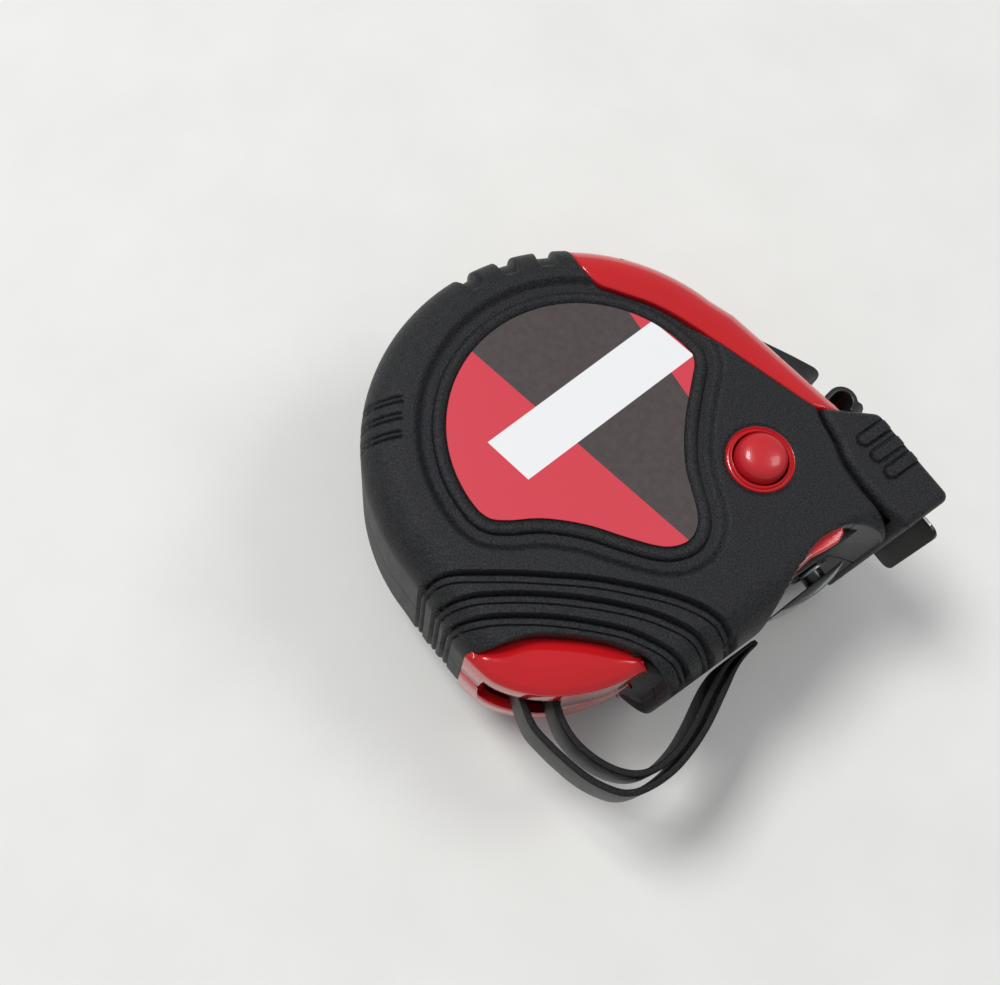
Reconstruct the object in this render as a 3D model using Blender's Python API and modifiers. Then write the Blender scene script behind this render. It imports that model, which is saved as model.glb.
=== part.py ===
"""Pocket tape measure with a 25 mm blade, built from its separate pieces.

It lies on the belt clip of its back: +Z is the normal of the label face, +X points to the
mouth and the end hook, +Y to the top of the case. The origin is under the middle of the
bounding box, on the surface that the clip rests on.

Outlines are in millimetres from the reel's axis; at() turns them into metres in the frame.
"""
from math import atan2, cos, degrees, hypot, pi, radians, sin

import bmesh
import bpy
from mathutils import Matrix, Vector

MM = 0.001

# Frame, millimetres
REEL_X = -6.53           # reel axis in the frame
REEL_Y = 8.75
BACK_Z = 6.0             # back face of the case, above the clip's outer leaf
THICK = 42.0             # case thickness
MID_Z = BACK_Z + THICK / 2
FRONT_Z = BACK_Z + THICK
HALF = THICK / 2

# Case
CASE_R = 42.0            # round part of the case
BASE_Y = -48.0           # flat base, from the reel axis
NOSE_X = 47.8            # front of the shells' nose
SHOULDER = 8.0           # rounding from the faces to the rim
RUBBER = 2.0             # overmould thickness
GAP = 0.3                # clearance between touching pieces
SHELL = 2.0              # shell wall
STEP = 1.3               # drop of each step of the lower grip
CORNER_DROP = 5.2        # the red corner lies this far below the faces
VALLEY = 1.05            # depth of the valley round the label bead
LABEL_DEPTH = 1.4        # depth of the floor that the label is stuck to

# Notches across the top rim: angles from +Y towards +X, degrees
TOP_NOTCHES = [(-2.0, 3.7), (10.1, 15.9), (22.0, 27.8)]
NOTCH_R = 40.7

# Reel and blade
BLADE_W = 25.0
FLANGE_R = 30.2
COIL_R = 29.2
DRUM_R = 15.2
BLADE_Y = -40.2          # middle of the blade's arc, in the mouth
BLADE_ARCH = 1.6         # rise of the blade's edges over its middle
TONGUE_BACK_X = -11.0
HOOK_X = 47.7            # inner face of the hook plate
HOOK_W = 23.4
HOOK_END_Y = -53.4

# Side button
BUTTON_X, BUTTON_Y = 24.0, -22.7
BUTTON_R = 5.1
BEZEL_R = 6.6

# Thumb lock: a slope down the front face, its start and its direction
SLOPE_X, SLOPE_Y = 42.7, 5.0
SLOPE_DIR = (0.1710, -0.9853)
LOCK_HALF_W = 11.0

MOUTH_LOW, MOUTH_HIGH = -43.6, -37.9
CHANNEL = 13.4           # half width of the space that the blade runs in

# Finger recess and brake
SCOOP_X, SCOOP_Y, SCOOP_R = 24.8, -54.0, 13.0
SCOOP_WALL = 1.6
CEILING_LOW, CEILING_HIGH = -43.6, -42.4   # plate between the recess and the blade
STEM_X = SCOOP_X + 2.6
STEM_R = 2.4

# Strap
STRAP_PIN = (-32.5, -29.0)
STRAP_W = 12.0
STRAP_T = 1.3

# Clip
CLIP_T = 1.2
CLIP_W = 20.0
CLIP_SCREW_Y = 14.0
CLIP_BEND_Y = 19.5
CLIP_PLAY = 0.8          # room for the bend to turn beside the plate

# Case screws: place, and how far the case's surface lies under the face there
SCREWS = [(-24.4, 24.4, 0.0), (23.6, 25.2, 0.0), (-24.6, -36.2, CORNER_DROP), (33.4, -27.4, 0.0)]


# ---------------------------------------------------------------- scene and collections

def clear_scene():
    for thing in list(bpy.data.objects):
        bpy.data.objects.remove(thing, do_unlink=True)


def collection(name):
    made = bpy.data.collections.new(name)
    bpy.context.scene.collection.children.link(made)
    return made


clear_scene()
PARTS = collection("tape_measure")
CUTTERS = collection("cutters")


def at(x, y, z):
    """Millimetres from the reel axis, height above the resting surface -> metres."""
    return Vector(((REEL_X + x) * MM, (REEL_Y + y) * MM, z * MM))


def material(name, colour, rough, metal=0.0):
    mat = bpy.data.materials.new(name)
    mat.use_nodes = True
    shader = mat.node_tree.nodes["Principled BSDF"]
    shader.inputs["Base Color"].default_value = (*colour, 1.0)
    shader.inputs["Roughness"].default_value = rough
    shader.inputs["Metallic"].default_value = metal
    mat.diffuse_color = (*colour, 1.0)
    return mat


RED = (0.62, 0.02, 0.02)
BLACK = (0.02, 0.02, 0.022)
STEEL = (0.55, 0.55, 0.56)
YELLOW = (0.85, 0.62, 0.05)


# ---------------------------------------------------------------- outlines

def arc(cx, cy, r, start, end, count):
    """Points on an arc, angles in degrees, both ends included."""
    angles = [radians(start + (end - start) * k / (count - 1)) for k in range(count)]
    return [(cx + r * cos(a), cy + r * sin(a)) for a in angles]


def spline(points, steps):
    """Smooth open curve through the points (Catmull-Rom), the ends included."""
    ends = [points[0]] + list(points) + [points[-1]]
    out = []
    for k in range(1, len(ends) - 2):
        p0, p1, p2, p3 = ends[k - 1:k + 3]
        for i in range(steps):
            t = i / steps
            out.append(tuple(0.5 * (2 * b + (c - a) * t + (2 * a - 5 * b + 4 * c - d) * t * t
                                    + (3 * b - a - 3 * c + d) * t ** 3)
                             for a, b, c, d in zip(p0, p1, p2, p3)))
    out.append(tuple(points[-1]))
    return out


def inset(outline, distance):
    """The counter-clockwise outline, moved inwards by the distance (mitred corners)."""
    out = []
    count = len(outline)
    for k in range(count):
        a, b, c = outline[k - 1], outline[k], outline[(k + 1) % count]
        la, lb = hypot(b[0] - a[0], b[1] - a[1]), hypot(c[0] - b[0], c[1] - b[1])
        na = (-(b[1] - a[1]) / la, (b[0] - a[0]) / la)
        nb = (-(c[1] - b[1]) / lb, (c[0] - b[0]) / lb)
        scale = distance / (1 + na[0] * nb[0] + na[1] * nb[1])
        out.append((b[0] + (na[0] + nb[0]) * scale, b[1] + (na[1] + nb[1]) * scale))
    return out


def moved(outline, dx, dy):
    return [(x + dx, y + dy) for x, y in outline]


def case_outline():
    lower_left = [(-42.0, -12.0), (-41.6, -21.0), (-40.2, -27.0), (-36.8, -33.0), (-31.6, -38.4)]
    front = [(NOSE_X, BASE_Y), (NOSE_X, -25.0), (45.8, -13.1), (SLOPE_X, SLOPE_Y)]
    return front + arc(0, 0, CASE_R, 14, 184, 30) + spline(lower_left, 2) + [(-14.0, BASE_Y)]


def label_outline():
    """Shield: a circle above, drawn in to a rounded tip below."""
    lower = [(-26.0, -1.9), (-25.0, -4.4), (-22.2, -6.6), (-17.0, -9.6), (-11.3, -14.8),
             (-6.6, -20.8), (-2.8, -25.3), (0.2, -27.3), (3.4, -27.7), (6.2, -26.2), (8.0, -23.6),
             (9.4, -20.5), (11.2, -16.5), (14.2, -12.2), (18.2, -7.8), (23.7, -2.8), (26.2, -0.5),
             (27.3, 1.6)]
    return arc(0.6, 0.2, 26.7, 9, 181, 26) + lower


# Lines of the lower grip: each is the upper edge of a step, from the back to the base.
STEP_LINES = [
    [(-52.0, -5.6), (-40.8, -7.0), (-36.8, -8.2), (-31.8, -11.4), (-26.8, -14.8), (-21.8, -18.6),
     (-15.8, -23.4), (-10.8, -28.3), (-6.8, -32.6), (-3.8, -36.6), (-1.8, -40.6), (-1.0, -45.0),
     (-0.8, -60.0)],
    [(-52.0, -9.6), (-41.6, -11.4), (-35.8, -13.4), (-30.8, -16.2), (-25.8, -19.6), (-20.8, -23.6),
     (-15.8, -28.2), (-11.2, -33.2), (-8.3, -37.4), (-6.5, -41.0), (-5.8, -45.0), (-5.4, -60.0)],
    [(-52.0, -12.4), (-41.8, -15.0), (-35.8, -17.6), (-30.8, -20.6), (-25.8, -24.2), (-20.8, -28.6),
     (-15.8, -33.8), (-12.9, -38.4), (-11.3, -42.0), (-10.6, -46.0), (-10.4, -60.0)],
]
CORNER_LINE = [(-60, -16.0), (-46.0, -19.0), (-38.8, -22.6), (-31.0, -24.8), (-25.8, -28.2),
               (-20.8, -32.6), (-17.3, -37.0), (-15.2, -42.0), (-14.0, -60.0)]
TRIM_LINE = [(-13.4, -60.0), (-13.9, -46.5), (-15.4, -42.8), (-19.0, -41.6), (-24.4, -40.6),
             (-30.0, -38.6), (-33.4, -36.4), (-45.0, -46.0)]


def below(line, far=(-75.0, -75.0)):
    """Closed area on the lower-left side of a line that runs from the back to the base."""
    return [(line[0][0], line[0][1])] + line[1:] + [(line[-1][0], far[1]), (far[0], far[1]),
                                                   (far[0], line[0][1])]


def strip_area(grow=0.0):
    """The red strip along the top of the case, out to the nose cap's sloping face."""
    edge = [(24.5, 50.0), (21.8, 35.0), (20.5, 30.5), (20.2, 27.0), (21.0, 23.5), (22.7, 21.0),
            (24.9, 18.0), (27.2, 14.8), (29.3, 10.8), (31.2, 6.0), (33.2, 0.0), (35.2, -6.0),
            (37.2, -12.0), (39.2, -17.8), (40.5, -19.8), (64.0, -39.0), (64.0, 50.0)]
    return inset(edge, -grow) if grow else edge


def cap_area():
    return [(39.4, -48.8), (50.4, -48.8), (50.2, -28.2), (40.4, -20.2),
            (38.4, -28.0), (37.1, -32.0), (36.7, -38.0), (37.6, -46.0)]


def slope_point(s, h):
    """s along the lock's slope, h out from it."""
    dx, dy = SLOPE_DIR
    return (SLOPE_X + s * dx - h * dy, SLOPE_Y + s * dy + h * dx)


# ---------------------------------------------------------------- solids

def add(name, mesh, home=None):
    thing = bpy.data.objects.new(name, mesh)
    (home or CUTTERS).objects.link(thing)
    if home is None:
        thing.hide_render = True
        thing.display_type = 'WIRE'
    return thing


def from_bmesh(name, bm, home=None):
    bmesh.ops.recalc_face_normals(bm, faces=bm.faces)
    mesh = bpy.data.meshes.new(name)
    bm.to_mesh(mesh)
    bm.free()
    return add(name, mesh, home)


def loft(name, rings, home=None, closed=False):
    """A skin through rings of equal count; the ends are capped unless it closes on itself."""
    bm = bmesh.new()
    rows = [[bm.verts.new(at(*p)) for p in ring] for ring in rings]
    pairs = list(zip(rows, rows[1:]))
    if closed:
        pairs.append((rows[-1], rows[0]))
    for low, high in pairs:
        for k in range(len(low)):
            j = (k + 1) % len(low)
            bm.faces.new((low[k], low[j], high[j], high[k]))
    if not closed:
        bm.faces.new(rows[0][::-1])
        bm.faces.new(rows[-1])
    return from_bmesh(name, bm, home)


def prism(name, outline, z0, z1, home=None):
    """A flat outline raised from z0 to z1: a filled 2D curve, made a mesh."""
    data = bpy.data.curves.new(name, 'CURVE')
    data.dimensions = '2D'
    data.fill_mode = 'BOTH'
    data.extrude = (z1 - z0) / 2 * MM
    line = data.splines.new('POLY')
    line.points.add(len(outline) - 1)
    for point, (x, y) in zip(line.points, outline):
        point.co = (x * MM, y * MM, 0.0, 1.0)
    line.use_cyclic_u = True
    curve = bpy.data.objects.new(name + "_curve", data)
    curve.location = at(0, 0, (z0 + z1) / 2)
    bpy.context.scene.collection.objects.link(curve)
    bpy.context.view_layer.update()
    graph = bpy.context.evaluated_depsgraph_get()
    mesh = bpy.data.meshes.new_from_object(curve.evaluated_get(graph))
    mesh.transform(curve.matrix_world)
    bpy.data.objects.remove(curve)
    bm = bmesh.new()
    bm.from_mesh(mesh)
    bmesh.ops.remove_doubles(bm, verts=bm.verts, dist=1e-6)
    bpy.data.meshes.remove(mesh)
    return from_bmesh(name, bm, home)


def box(name, low, high, home=None):
    bm = bmesh.new()
    bmesh.ops.create_cube(bm, size=1.0)
    a, b = at(*low), at(*high)
    bmesh.ops.transform(bm, verts=bm.verts,
                        matrix=Matrix.Translation((a + b) / 2) @ Matrix.Diagonal((*(b - a), 1.0)))
    return from_bmesh(name, bm, home)


def cylinder(name, x, y, r, z0, z1, home=None, sides=24, r_top=None):
    bm = bmesh.new()
    bmesh.ops.create_cone(bm, cap_ends=True, segments=sides, radius1=r * MM,
                          radius2=(r if r_top is None else r_top) * MM, depth=(z1 - z0) * MM)
    bmesh.ops.translate(bm, verts=bm.verts, vec=at(x, y, (z0 + z1) / 2))
    return from_bmesh(name, bm, home)


def turned(name, x, y, profile, home=None, steps=24):
    """A profile of (radius, z), top to bottom on its outer side, turned about a Z axis."""
    mesh = bpy.data.meshes.new(name)
    count = len(profile)
    closed = profile[0][0] > 0 and profile[-1][0] > 0
    edges = [(k, k + 1) for k in range(count - 1)] + ([(count - 1, 0)] if closed else [])
    mesh.from_pydata([(r * MM, 0.0, z * MM) for r, z in profile], edges, [])
    thing = add(name, mesh, home)
    thing.location = at(x, y, 0)
    screw = thing.modifiers.new("turn", 'SCREW')
    screw.steps = steps
    screw.render_steps = steps
    screw.use_merge_vertices = True
    screw.merge_threshold = 0.000001
    return thing


def boolean(thing, other, operation):
    other.hide_render = True
    other.display_type = 'WIRE'
    mod = thing.modifiers.new(operation.lower() + "_" + other.name, 'BOOLEAN')
    mod.operation = operation
    mod.solver = 'EXACT'
    mod.object = other
    return thing


def cut(thing, *others):
    for other in others:
        boolean(thing, other, 'DIFFERENCE')
    return thing


def join(thing, *others):
    for other in others:
        boolean(thing, other, 'UNION')
    return thing


def finish(thing, colour, rough, metal=0.0, smooth=True):
    """Give a part its own material, and smooth shading between its real edges."""
    thing.data.materials.clear()
    thing.data.materials.append(material(thing.name, colour, rough, metal))
    if smooth:
        thing.data.shade_smooth()
        thing.data.set_sharp_from_angle(angle=radians(35))
    return thing


def seat(thing, x, y, z):
    """Put the origin of a part at a point on its joint axis; its faces stay where they are."""
    centre = at(x, y, z)
    thing.data.transform(Matrix.Translation(-centre))
    thing.location = centre
    return thing


# ---------------------------------------------------------------- case layers

def level(side, depth):
    """Height of a surface that lies depth below the front (side 1) or the back face (-1)."""
    return MID_Z + side * (HALF - depth)


def shoulder_rings(side, depth):
    """Rings of the case form from the rim to one face, depth inside the surface."""
    radius = max(SHOULDER - depth, 1.5)
    outline = case_outline()
    rings = []
    for k in range(5):
        turn = radians(90 * k / 4)
        edge = inset(outline, depth + radius * (1 - cos(turn)))
        height = MID_Z + side * (HALF - depth - radius * (1 - sin(turn)))
        rings.append([(x, y, height) for x, y in edge])
    return rings


def envelope(name, side, depth, home=None, foot=0.15):
    """Half of the case's outer form, depth inside its surface, stepped at the lower grip."""
    rim = [(x, y, MID_Z + side * foot) for x, y in inset(case_outline(), depth)]
    body = loft(name, [rim] + shoulder_rings(side, depth), home)
    drops = [moved(line, 0.6 * depth, 0.8 * depth) for line in STEP_LINES + [CORNER_LINE]]
    for k, line in enumerate(drops):
        drop = CORNER_DROP if k == len(STEP_LINES) else STEP * (k + 1)
        low, high = sorted((level(side, depth + drop), level(side, -6)))
        cut(body, prism("%s_step_%d" % (name, k), below(line), low, high))
    trim = moved(TRIM_LINE, 0.5 * depth, depth) + [(-45.0, -90.0), (-13.4, -90.0)]
    low, high = sorted((MID_Z - side * 3, level(side, -6)))
    cut(body, prism(name + "_trim", trim, low, high))
    return body


def scoop(name, extra=0.0, z0=0.0, z1=60.0):
    return cylinder(name, SCOOP_X, SCOOP_Y, SCOOP_R + extra, z0, z1, sides=48)


def scoop_pocket(name):
    """The finger recess in the shells: full depth beside the blade's channel, less under it."""
    wall = CHANNEL + 1.2
    pocket = scoop(name)
    cut(pocket, box(name + "_limit", (SCOOP_X - 20, CEILING_LOW, MID_Z - wall),
                    (SCOOP_X + 20, -30, MID_Z + wall)))
    return pocket


def grip(name, side):
    """Black rubber overmould of one half: the case form less the red parts and the nose."""
    body = envelope(name, side, 0.0, PARTS)
    cut(body, envelope(name + "_inside", side, RUBBER, foot=-1.0))
    low, high = -2, 60
    cut(body, prism(name + "_strip", strip_area(GAP), low, high))
    cut(body, prism(name + "_corner", below(CORNER_LINE), low, high))
    cut(body, prism(name + "_nose", [(37.0, -60), (60, -60), (60, -18), (40.6, -18), (39.3, -21.6),
                                     (38.1, -28.0), (36.8, -32.0), (36.4, -38.0), (37.3, -46.0)],
                    low, high))
    cut(body, scoop(name + "_scoop"))
    for k, (start, end) in enumerate(TOP_NOTCHES):
        floor = [(NOTCH_R * sin(radians(a)), NOTCH_R * cos(radians(a))) for a in (start, end)]
        over = [(x * 1.1, y * 1.1) for x, y in floor]
        cut(body, prism("%s_notch_%d" % (name, k), [floor[0], over[0], over[1], floor[1]],
                        low, high))
    return body


def label_recess(body, name):
    """A valley, a raised bead and the floor that the label is stuck to."""
    label = label_outline()
    top = FRONT_Z
    cut(body, prism(name + "_valley", inset(label, -6.0), top - VALLEY, top + 3))
    bead = prism(name + "_bead", inset(label, -3.4), top - VALLEY - 0.2, top - 0.3)
    join(body, bead)
    cut(body, prism(name + "_floor", inset(label, -0.2), top - LABEL_DEPTH, top + 3))


def make_grips():
    front = grip("grip_front", 1)
    label_recess(front, "label_recess")
    cut(front, cylinder("button_clearance", BUTTON_X, BUTTON_Y, BEZEL_R + GAP, MID_Z + 5, 60))
    finish(front, BLACK, 0.62)
    back = grip("grip_back", -1)
    for k, (x, y, _) in enumerate(SCREWS):
        cut(back, cylinder("grip_screw_hole_%d" % k, x, y, 2.9, 0, MID_Z - 5, sides=16))
    cut(back, cylinder("grip_clip_hole", 0, CLIP_SCREW_Y, 5.0, 0, MID_Z - 5))
    finish(back, BLACK, 0.62)


def shell(name, side):
    """Red plastic half: inside the rubber, and out to the surface at the strip and corner."""
    body = envelope(name, side, RUBBER + GAP, PARTS)
    low, high = -2, 60
    strip = boolean(envelope(name + "_outer_a", side, 0.4),
                    prism(name + "_strip", strip_area(), low, high), 'INTERSECT')
    corner = boolean(envelope(name + "_outer_b", side, 0.4),
                     prism(name + "_corner", below(moved(CORNER_LINE, -0.3, -0.3)), low, high),
                     'INTERSECT')
    join(body, strip, corner)
    cavity = envelope(name + "_cavity", side, RUBBER + GAP + SHELL, foot=-1.0)
    low, high = sorted((MID_Z + side * CHANNEL, MID_Z + side * 2 * HALF))
    cut(cavity, scoop(name + "_scoop_wall", SCOOP_WALL, low, high))
    cut(cavity, box(name + "_ceiling", (SCOOP_X - 14.4, -60, MID_Z - CHANNEL - 1.0),
                    (SCOOP_X + 14.4, CEILING_HIGH, MID_Z + CHANNEL + 1.0)))
    cut(body, cavity)
    cut(body, scoop_pocket(name + "_scoop"))
    return body


def boss(body, name, x, y, r, side, reach, drop=0.0):
    """A post from a shell's wall to near the middle plane."""
    wall = level(side, drop + RUBBER + GAP + SHELL - 0.5)
    low, high = sorted((MID_Z + side * reach, wall))
    join(body, cylinder(name, x, y, r, low, high, sides=16))


def mouth_box(name):
    return box(name, (36, MOUTH_LOW, MID_Z - CHANNEL), (60, MOUTH_HIGH, MID_Z + CHANNEL))


def make_shells():
    mouth = mouth_box("mouth_cut")
    lock_slot = slope_box("lock_slot", 6.2, 16.4, -8.0, 3.0, 3.3)
    stem_hole = post_y("brake_hole", STEM_X, MID_Z, STEM_R + 0.4, -45, -41)
    strap_slot = prism("strap_slot", [(STRAP_PIN[0] + dx, STRAP_PIN[1] + dy) for dx, dy in
                                      [(3.6, -3.0), (6.0, -14.0), (-16.0, -8.0), (-8.4, 3.4),
                                       (-3.4, 4.2), (1.5, 3.6)]],
                       MID_Z - STRAP_W / 2 - 0.8, MID_Z + STRAP_W / 2 + 0.8)
    for name, side in (("case_front", 1), ("case_back", -1)):
        body = shell(name, side)
        for k, (x, y, drop) in enumerate(SCREWS):
            boss(body, "%s_boss_%d" % (name, k), x, y, 2.9, side, 0.15, drop)
        boss(body, name + "_post_socket", 0, 0, 4.6, side, HALF - 6.3)
        cut(body, cylinder(name + "_post_bore", 0, 0, 2.8, MID_Z - 16.9, MID_Z + 16.9))
        lug_low, lug_high = sorted((MID_Z + side * 8.2, MID_Z + side * 11.6))
        lug = prism(name + "_pin_lug", [(-42, -32), (-38.5, -36.5), (-30, -34), (-28.2, -27.5),
                                        (-31, -24.0), (-40.5, -20.0)], lug_low, lug_high)
        boolean(lug, envelope(name + "_lug_limit", side, 2.5, foot=-1.0), 'INTERSECT')
        join(body, lug)
        cut(body, cylinder(name + "_pin_bore", *STRAP_PIN, 1.8, MID_Z - 10.6, MID_Z + 10.6,
                           sides=16))
        cut(body, mouth, lock_slot, strap_slot, stem_hole)
        if side > 0:
            cut(body, cylinder("button_hole", BUTTON_X, BUTTON_Y, BUTTON_R + 0.4, 40, 60))
            for k, (x, y, _) in enumerate(SCREWS):
                cut(body, cylinder("pilot_%d" % k, x, y, 1.3, MID_Z - 2, MID_Z + 7, sides=12))
        else:
            for k, (x, y, drop) in enumerate(SCREWS):
                seat_z = BACK_Z + drop + 3.4
                cut(body, cylinder("screw_bore_%d" % k, x, y, 1.5, 0, MID_Z + 2, sides=12))
                cut(body, cylinder("screw_seat_%d" % k, x, y, 2.9, 0, seat_z, sides=16))
            cut(body, cylinder("clip_screw_bore", 0, CLIP_SCREW_Y, 1.5, 0, 13, sides=12))
        finish(body, RED, 0.28)


def slope_box(name, s0, s1, h0, h1, half_w, home=None):
    corners = [slope_point(s, h) for s, h in ((s0, h0), (s1, h0), (s1, h1), (s0, h1))]
    return prism(name, corners[::-1], MID_Z - half_w, MID_Z + half_w, home)


def make_nose_cap():
    outline = cap_area()
    rings = []
    for side, order in ((-1, (2, 1, 0)), (1, (0, 1, 2))):
        for k in order:
            turn = radians(45 * k)
            edge = inset(outline, 2.0 * (1 - cos(turn)))
            rings.append([(x, y, MID_Z + side * (HALF - 2.0 * (1 - sin(turn)))) for x, y in edge])
    cap = loft("nose_cap", rings, PARTS)
    ribs = [(-29.7, -31.9), (-33.6, -35.8), (-37.5, -39.7)]
    for k, (top, bottom) in enumerate(ribs):
        join(cap, box("nose_rib_%d" % k, (42.6, bottom, BACK_Z - 0.4), (49.6, top, FRONT_Z + 0.4)))
    cut(cap, loft("nose_inside", shoulder_rings(-1, RUBBER)[::-1] + shoulder_rings(1, RUBBER)))
    cut(cap, mouth_box("cap_mouth"))
    cut(cap, box("hook_recess", (47.4, -60, MID_Z - CHANNEL), (60, MOUTH_HIGH, MID_Z + CHANNEL)))
    cut(cap, scoop("cap_scoop"))
    finish(cap, BLACK, 0.6)


def make_label():
    label = prism("label_front", inset(label_outline(), 0.15), FRONT_Z - LABEL_DEPTH + GAP,
                  FRONT_Z - LABEL_DEPTH + 2 * GAP, PARTS)
    finish(label, (0.16, 0.13, 0.13), 0.35, smooth=False)


# ---------------------------------------------------------------- reel and blade

def make_reel():
    low = MID_Z - 13.8
    hub = turned("reel_hub", 0, 0, [
        (2.9, low + 1.0), (14.0, low + 1.0), (14.0, MID_Z + 12.8), (DRUM_R, MID_Z + 12.8),
        (DRUM_R, low + 1.0), (FLANGE_R, low + 1.0), (FLANGE_R, low), (2.9, low)], PARTS, 36)
    finish(hub, (0.25, 0.25, 0.26), 0.5)
    cover = turned("reel_cover", 0, 0, [
        (2.9, MID_Z + 13.9), (FLANGE_R, MID_Z + 13.9), (FLANGE_R, MID_Z + 13.1),
        (2.9, MID_Z + 13.1)], PARTS, 36)
    finish(cover, (0.25, 0.25, 0.26), 0.5)
    coil = turned("blade_coil", 0, 0, [
        (DRUM_R + GAP, MID_Z + BLADE_W / 2), (COIL_R, MID_Z + BLADE_W / 2),
        (COIL_R, MID_Z - BLADE_W / 2), (DRUM_R + GAP, MID_Z - BLADE_W / 2)], PARTS, 36)
    finish(coil, YELLOW, 0.4)
    post = turned("centre_post", 0, 0, [
        (0, MID_Z + 16.6), (2.5, MID_Z + 16.6), (2.5, MID_Z - 16.6), (0, MID_Z - 16.6)], PARTS, 16)
    finish(post, STEEL, 0.3, 1.0)


def make_power_spring():
    """Spiral strip between the post and the drum."""
    turns, per_turn, thick = 4, 20, 0.35
    rings = []
    for k in range(turns * per_turn + 1):
        a = 2 * pi * k / per_turn
        r = 4.2 + (13.3 - 4.2) * k / (turns * per_turn)
        inner, outer = r - thick / 2, r + thick / 2
        rings.append([(r * cos(a), r * sin(a), MID_Z + z) for r, z in
                      ((inner, -11), (outer, -11), (outer, 11), (inner, 11))])
    spring = seat(loft("power_spring", rings, PARTS), 0, 0, MID_Z)
    finish(spring, STEEL, 0.3, 1.0, smooth=False)


def make_tongue():
    """Straight front end of the blade, with its cupped section."""
    half = BLADE_W / 2
    under = [(BLADE_Y - 0.15 + BLADE_ARCH * (z / half) ** 2, z) for z in
             [half * (k / 4 - 1) for k in range(9)]]
    over = [(y + 0.3, z) for y, z in under][::-1]
    section = under + over
    rings = [[(x, y, MID_Z + z) for y, z in section] for x in (TONGUE_BACK_X, 47.2)]
    tongue = seat(loft("blade_tongue", rings, PARTS), TONGUE_BACK_X, BLADE_Y, MID_Z)
    for k, x in enumerate((40.4, 44.4)):
        cut(tongue, post_y("rivet_hole_%d" % k, x, MID_Z, 1.3, BLADE_Y - 3, BLADE_Y + 3))
    finish(tongue, YELLOW, 0.35)


def post_y(name, x, z, r, y0, y1, home=None, sides=16):
    """A cylinder along Y."""
    bm = bmesh.new()
    bmesh.ops.create_cone(bm, cap_ends=True, segments=sides, radius1=r * MM, radius2=r * MM,
                          depth=(y1 - y0) * MM)
    bmesh.ops.rotate(bm, verts=bm.verts, cent=(0, 0, 0), matrix=Matrix.Rotation(pi / 2, 3, 'X'))
    bmesh.ops.translate(bm, verts=bm.verts, vec=at(x, (y0 + y1) / 2, z))
    return from_bmesh(name, bm, home)


def make_hook():
    half = HOOK_W / 2
    hook = box("end_hook", (HOOK_X, HOOK_END_Y, MID_Z - half),
               (HOOK_X + 1.0, BLADE_Y - 0.5, MID_Z + half), PARTS)
    seat(hook, HOOK_X, BLADE_Y, MID_Z)
    join(hook, box("hook_flange", (37.8, BLADE_Y - 1.2, MID_Z - 6.0),
                   (HOOK_X + 0.5, BLADE_Y - 0.5, MID_Z + 6.0)))
    for k, x in enumerate((40.4, 44.4)):
        cut(hook, box("hook_slot_%d" % k, (x - 2.4, BLADE_Y - 3, MID_Z - 1.4),
                      (x + 1.4, BLADE_Y + 1, MID_Z + 1.4)))
        rivet = post_y("hook_rivet_%d" % (k + 1), x, MID_Z, 1.0, BLADE_Y - 1.6, BLADE_Y + 0.5,
                       PARTS, sides=12)
        seat(rivet, x, BLADE_Y, MID_Z)
        finish(rivet, STEEL, 0.3, 1.0)
    finish(hook, (0.03, 0.03, 0.03), 0.4, 0.6, smooth=False)


# ---------------------------------------------------------------- buttons and lock

def make_side_button():
    top = FRONT_Z
    bezel = turned("button_bezel", BUTTON_X, BUTTON_Y, [
        (5.6, top + 0.1), (6.0, top + 0.6), (BEZEL_R - 0.2, top + 0.5), (BEZEL_R, top),
        (BEZEL_R, top - RUBBER), (5.6, top - RUBBER)], PARTS)
    finish(bezel, RED, 0.25)
    dome = [(BUTTON_R * sin(radians(a)), top + 0.4 + 2.6 * cos(radians(a)))
            for a in (0, 25, 50, 75, 90)]
    profile = dome + [(BUTTON_R, top - 4.9), (6.1, top - 4.9), (6.1, top - 5.6), (0, top - 5.6)]
    finish(turned("side_button", BUTTON_X, BUTTON_Y, profile, PARTS), RED, 0.22)


def make_lock():
    arch_s, arch_h = 27.1, 4.6
    pad = [(0.8, 0.1), (0.8, 0.6), (9.0, 3.2), (17.4, 5.8), (18.8, 6.1), (20.0, 5.6),
           (20.5, 4.5), (20.2, 2.2), (19.8, 1.5)]
    over = [(arch_s + 3.2 * cos(radians(a)), arch_h + 3.2 * sin(radians(a)))
            for a in range(180, 50, -26)]
    leg = [(31.0, 7.0), (31.7, 5.8), (31.6, 4.3), (29.3, 4.1)]
    under = [(arch_s + 2.0 * cos(radians(a)), arch_h + 2.0 * sin(radians(a)))
             for a in range(10, 181, 34)]
    profile = pad + [(23.9, 1.5)] + over + leg + under + [(25.1, 1.5), (26.3, 1.4), (26.3, 0.1)]
    outline = [slope_point(s, h) for s, h in profile]
    slider = prism("lock_slider", outline, MID_Z - LOCK_HALF_W, MID_Z + LOCK_HALF_W, PARTS)
    seat(slider, SLOPE_X, SLOPE_Y, MID_Z)
    join(slider, slope_box("lock_stem", 6.8, 11.2, -4.0, 0.8, 2.7))
    finish(slider, BLACK, 0.5)
    foot = seat(slope_box("lock_foot", 5.8, 12.2, -8.2, -4.6, 5.0, PARTS), SLOPE_X, SLOPE_Y, MID_Z)
    join(foot, slope_box("lock_foot_arm", 10.5, 38.0, -8.2, -7.1, 4.0))
    join(foot, slope_box("lock_foot_pad", 36.2, 39.0, -9.0, -7.1, 6.0))
    finish(foot, BLACK, 0.5)


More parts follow.
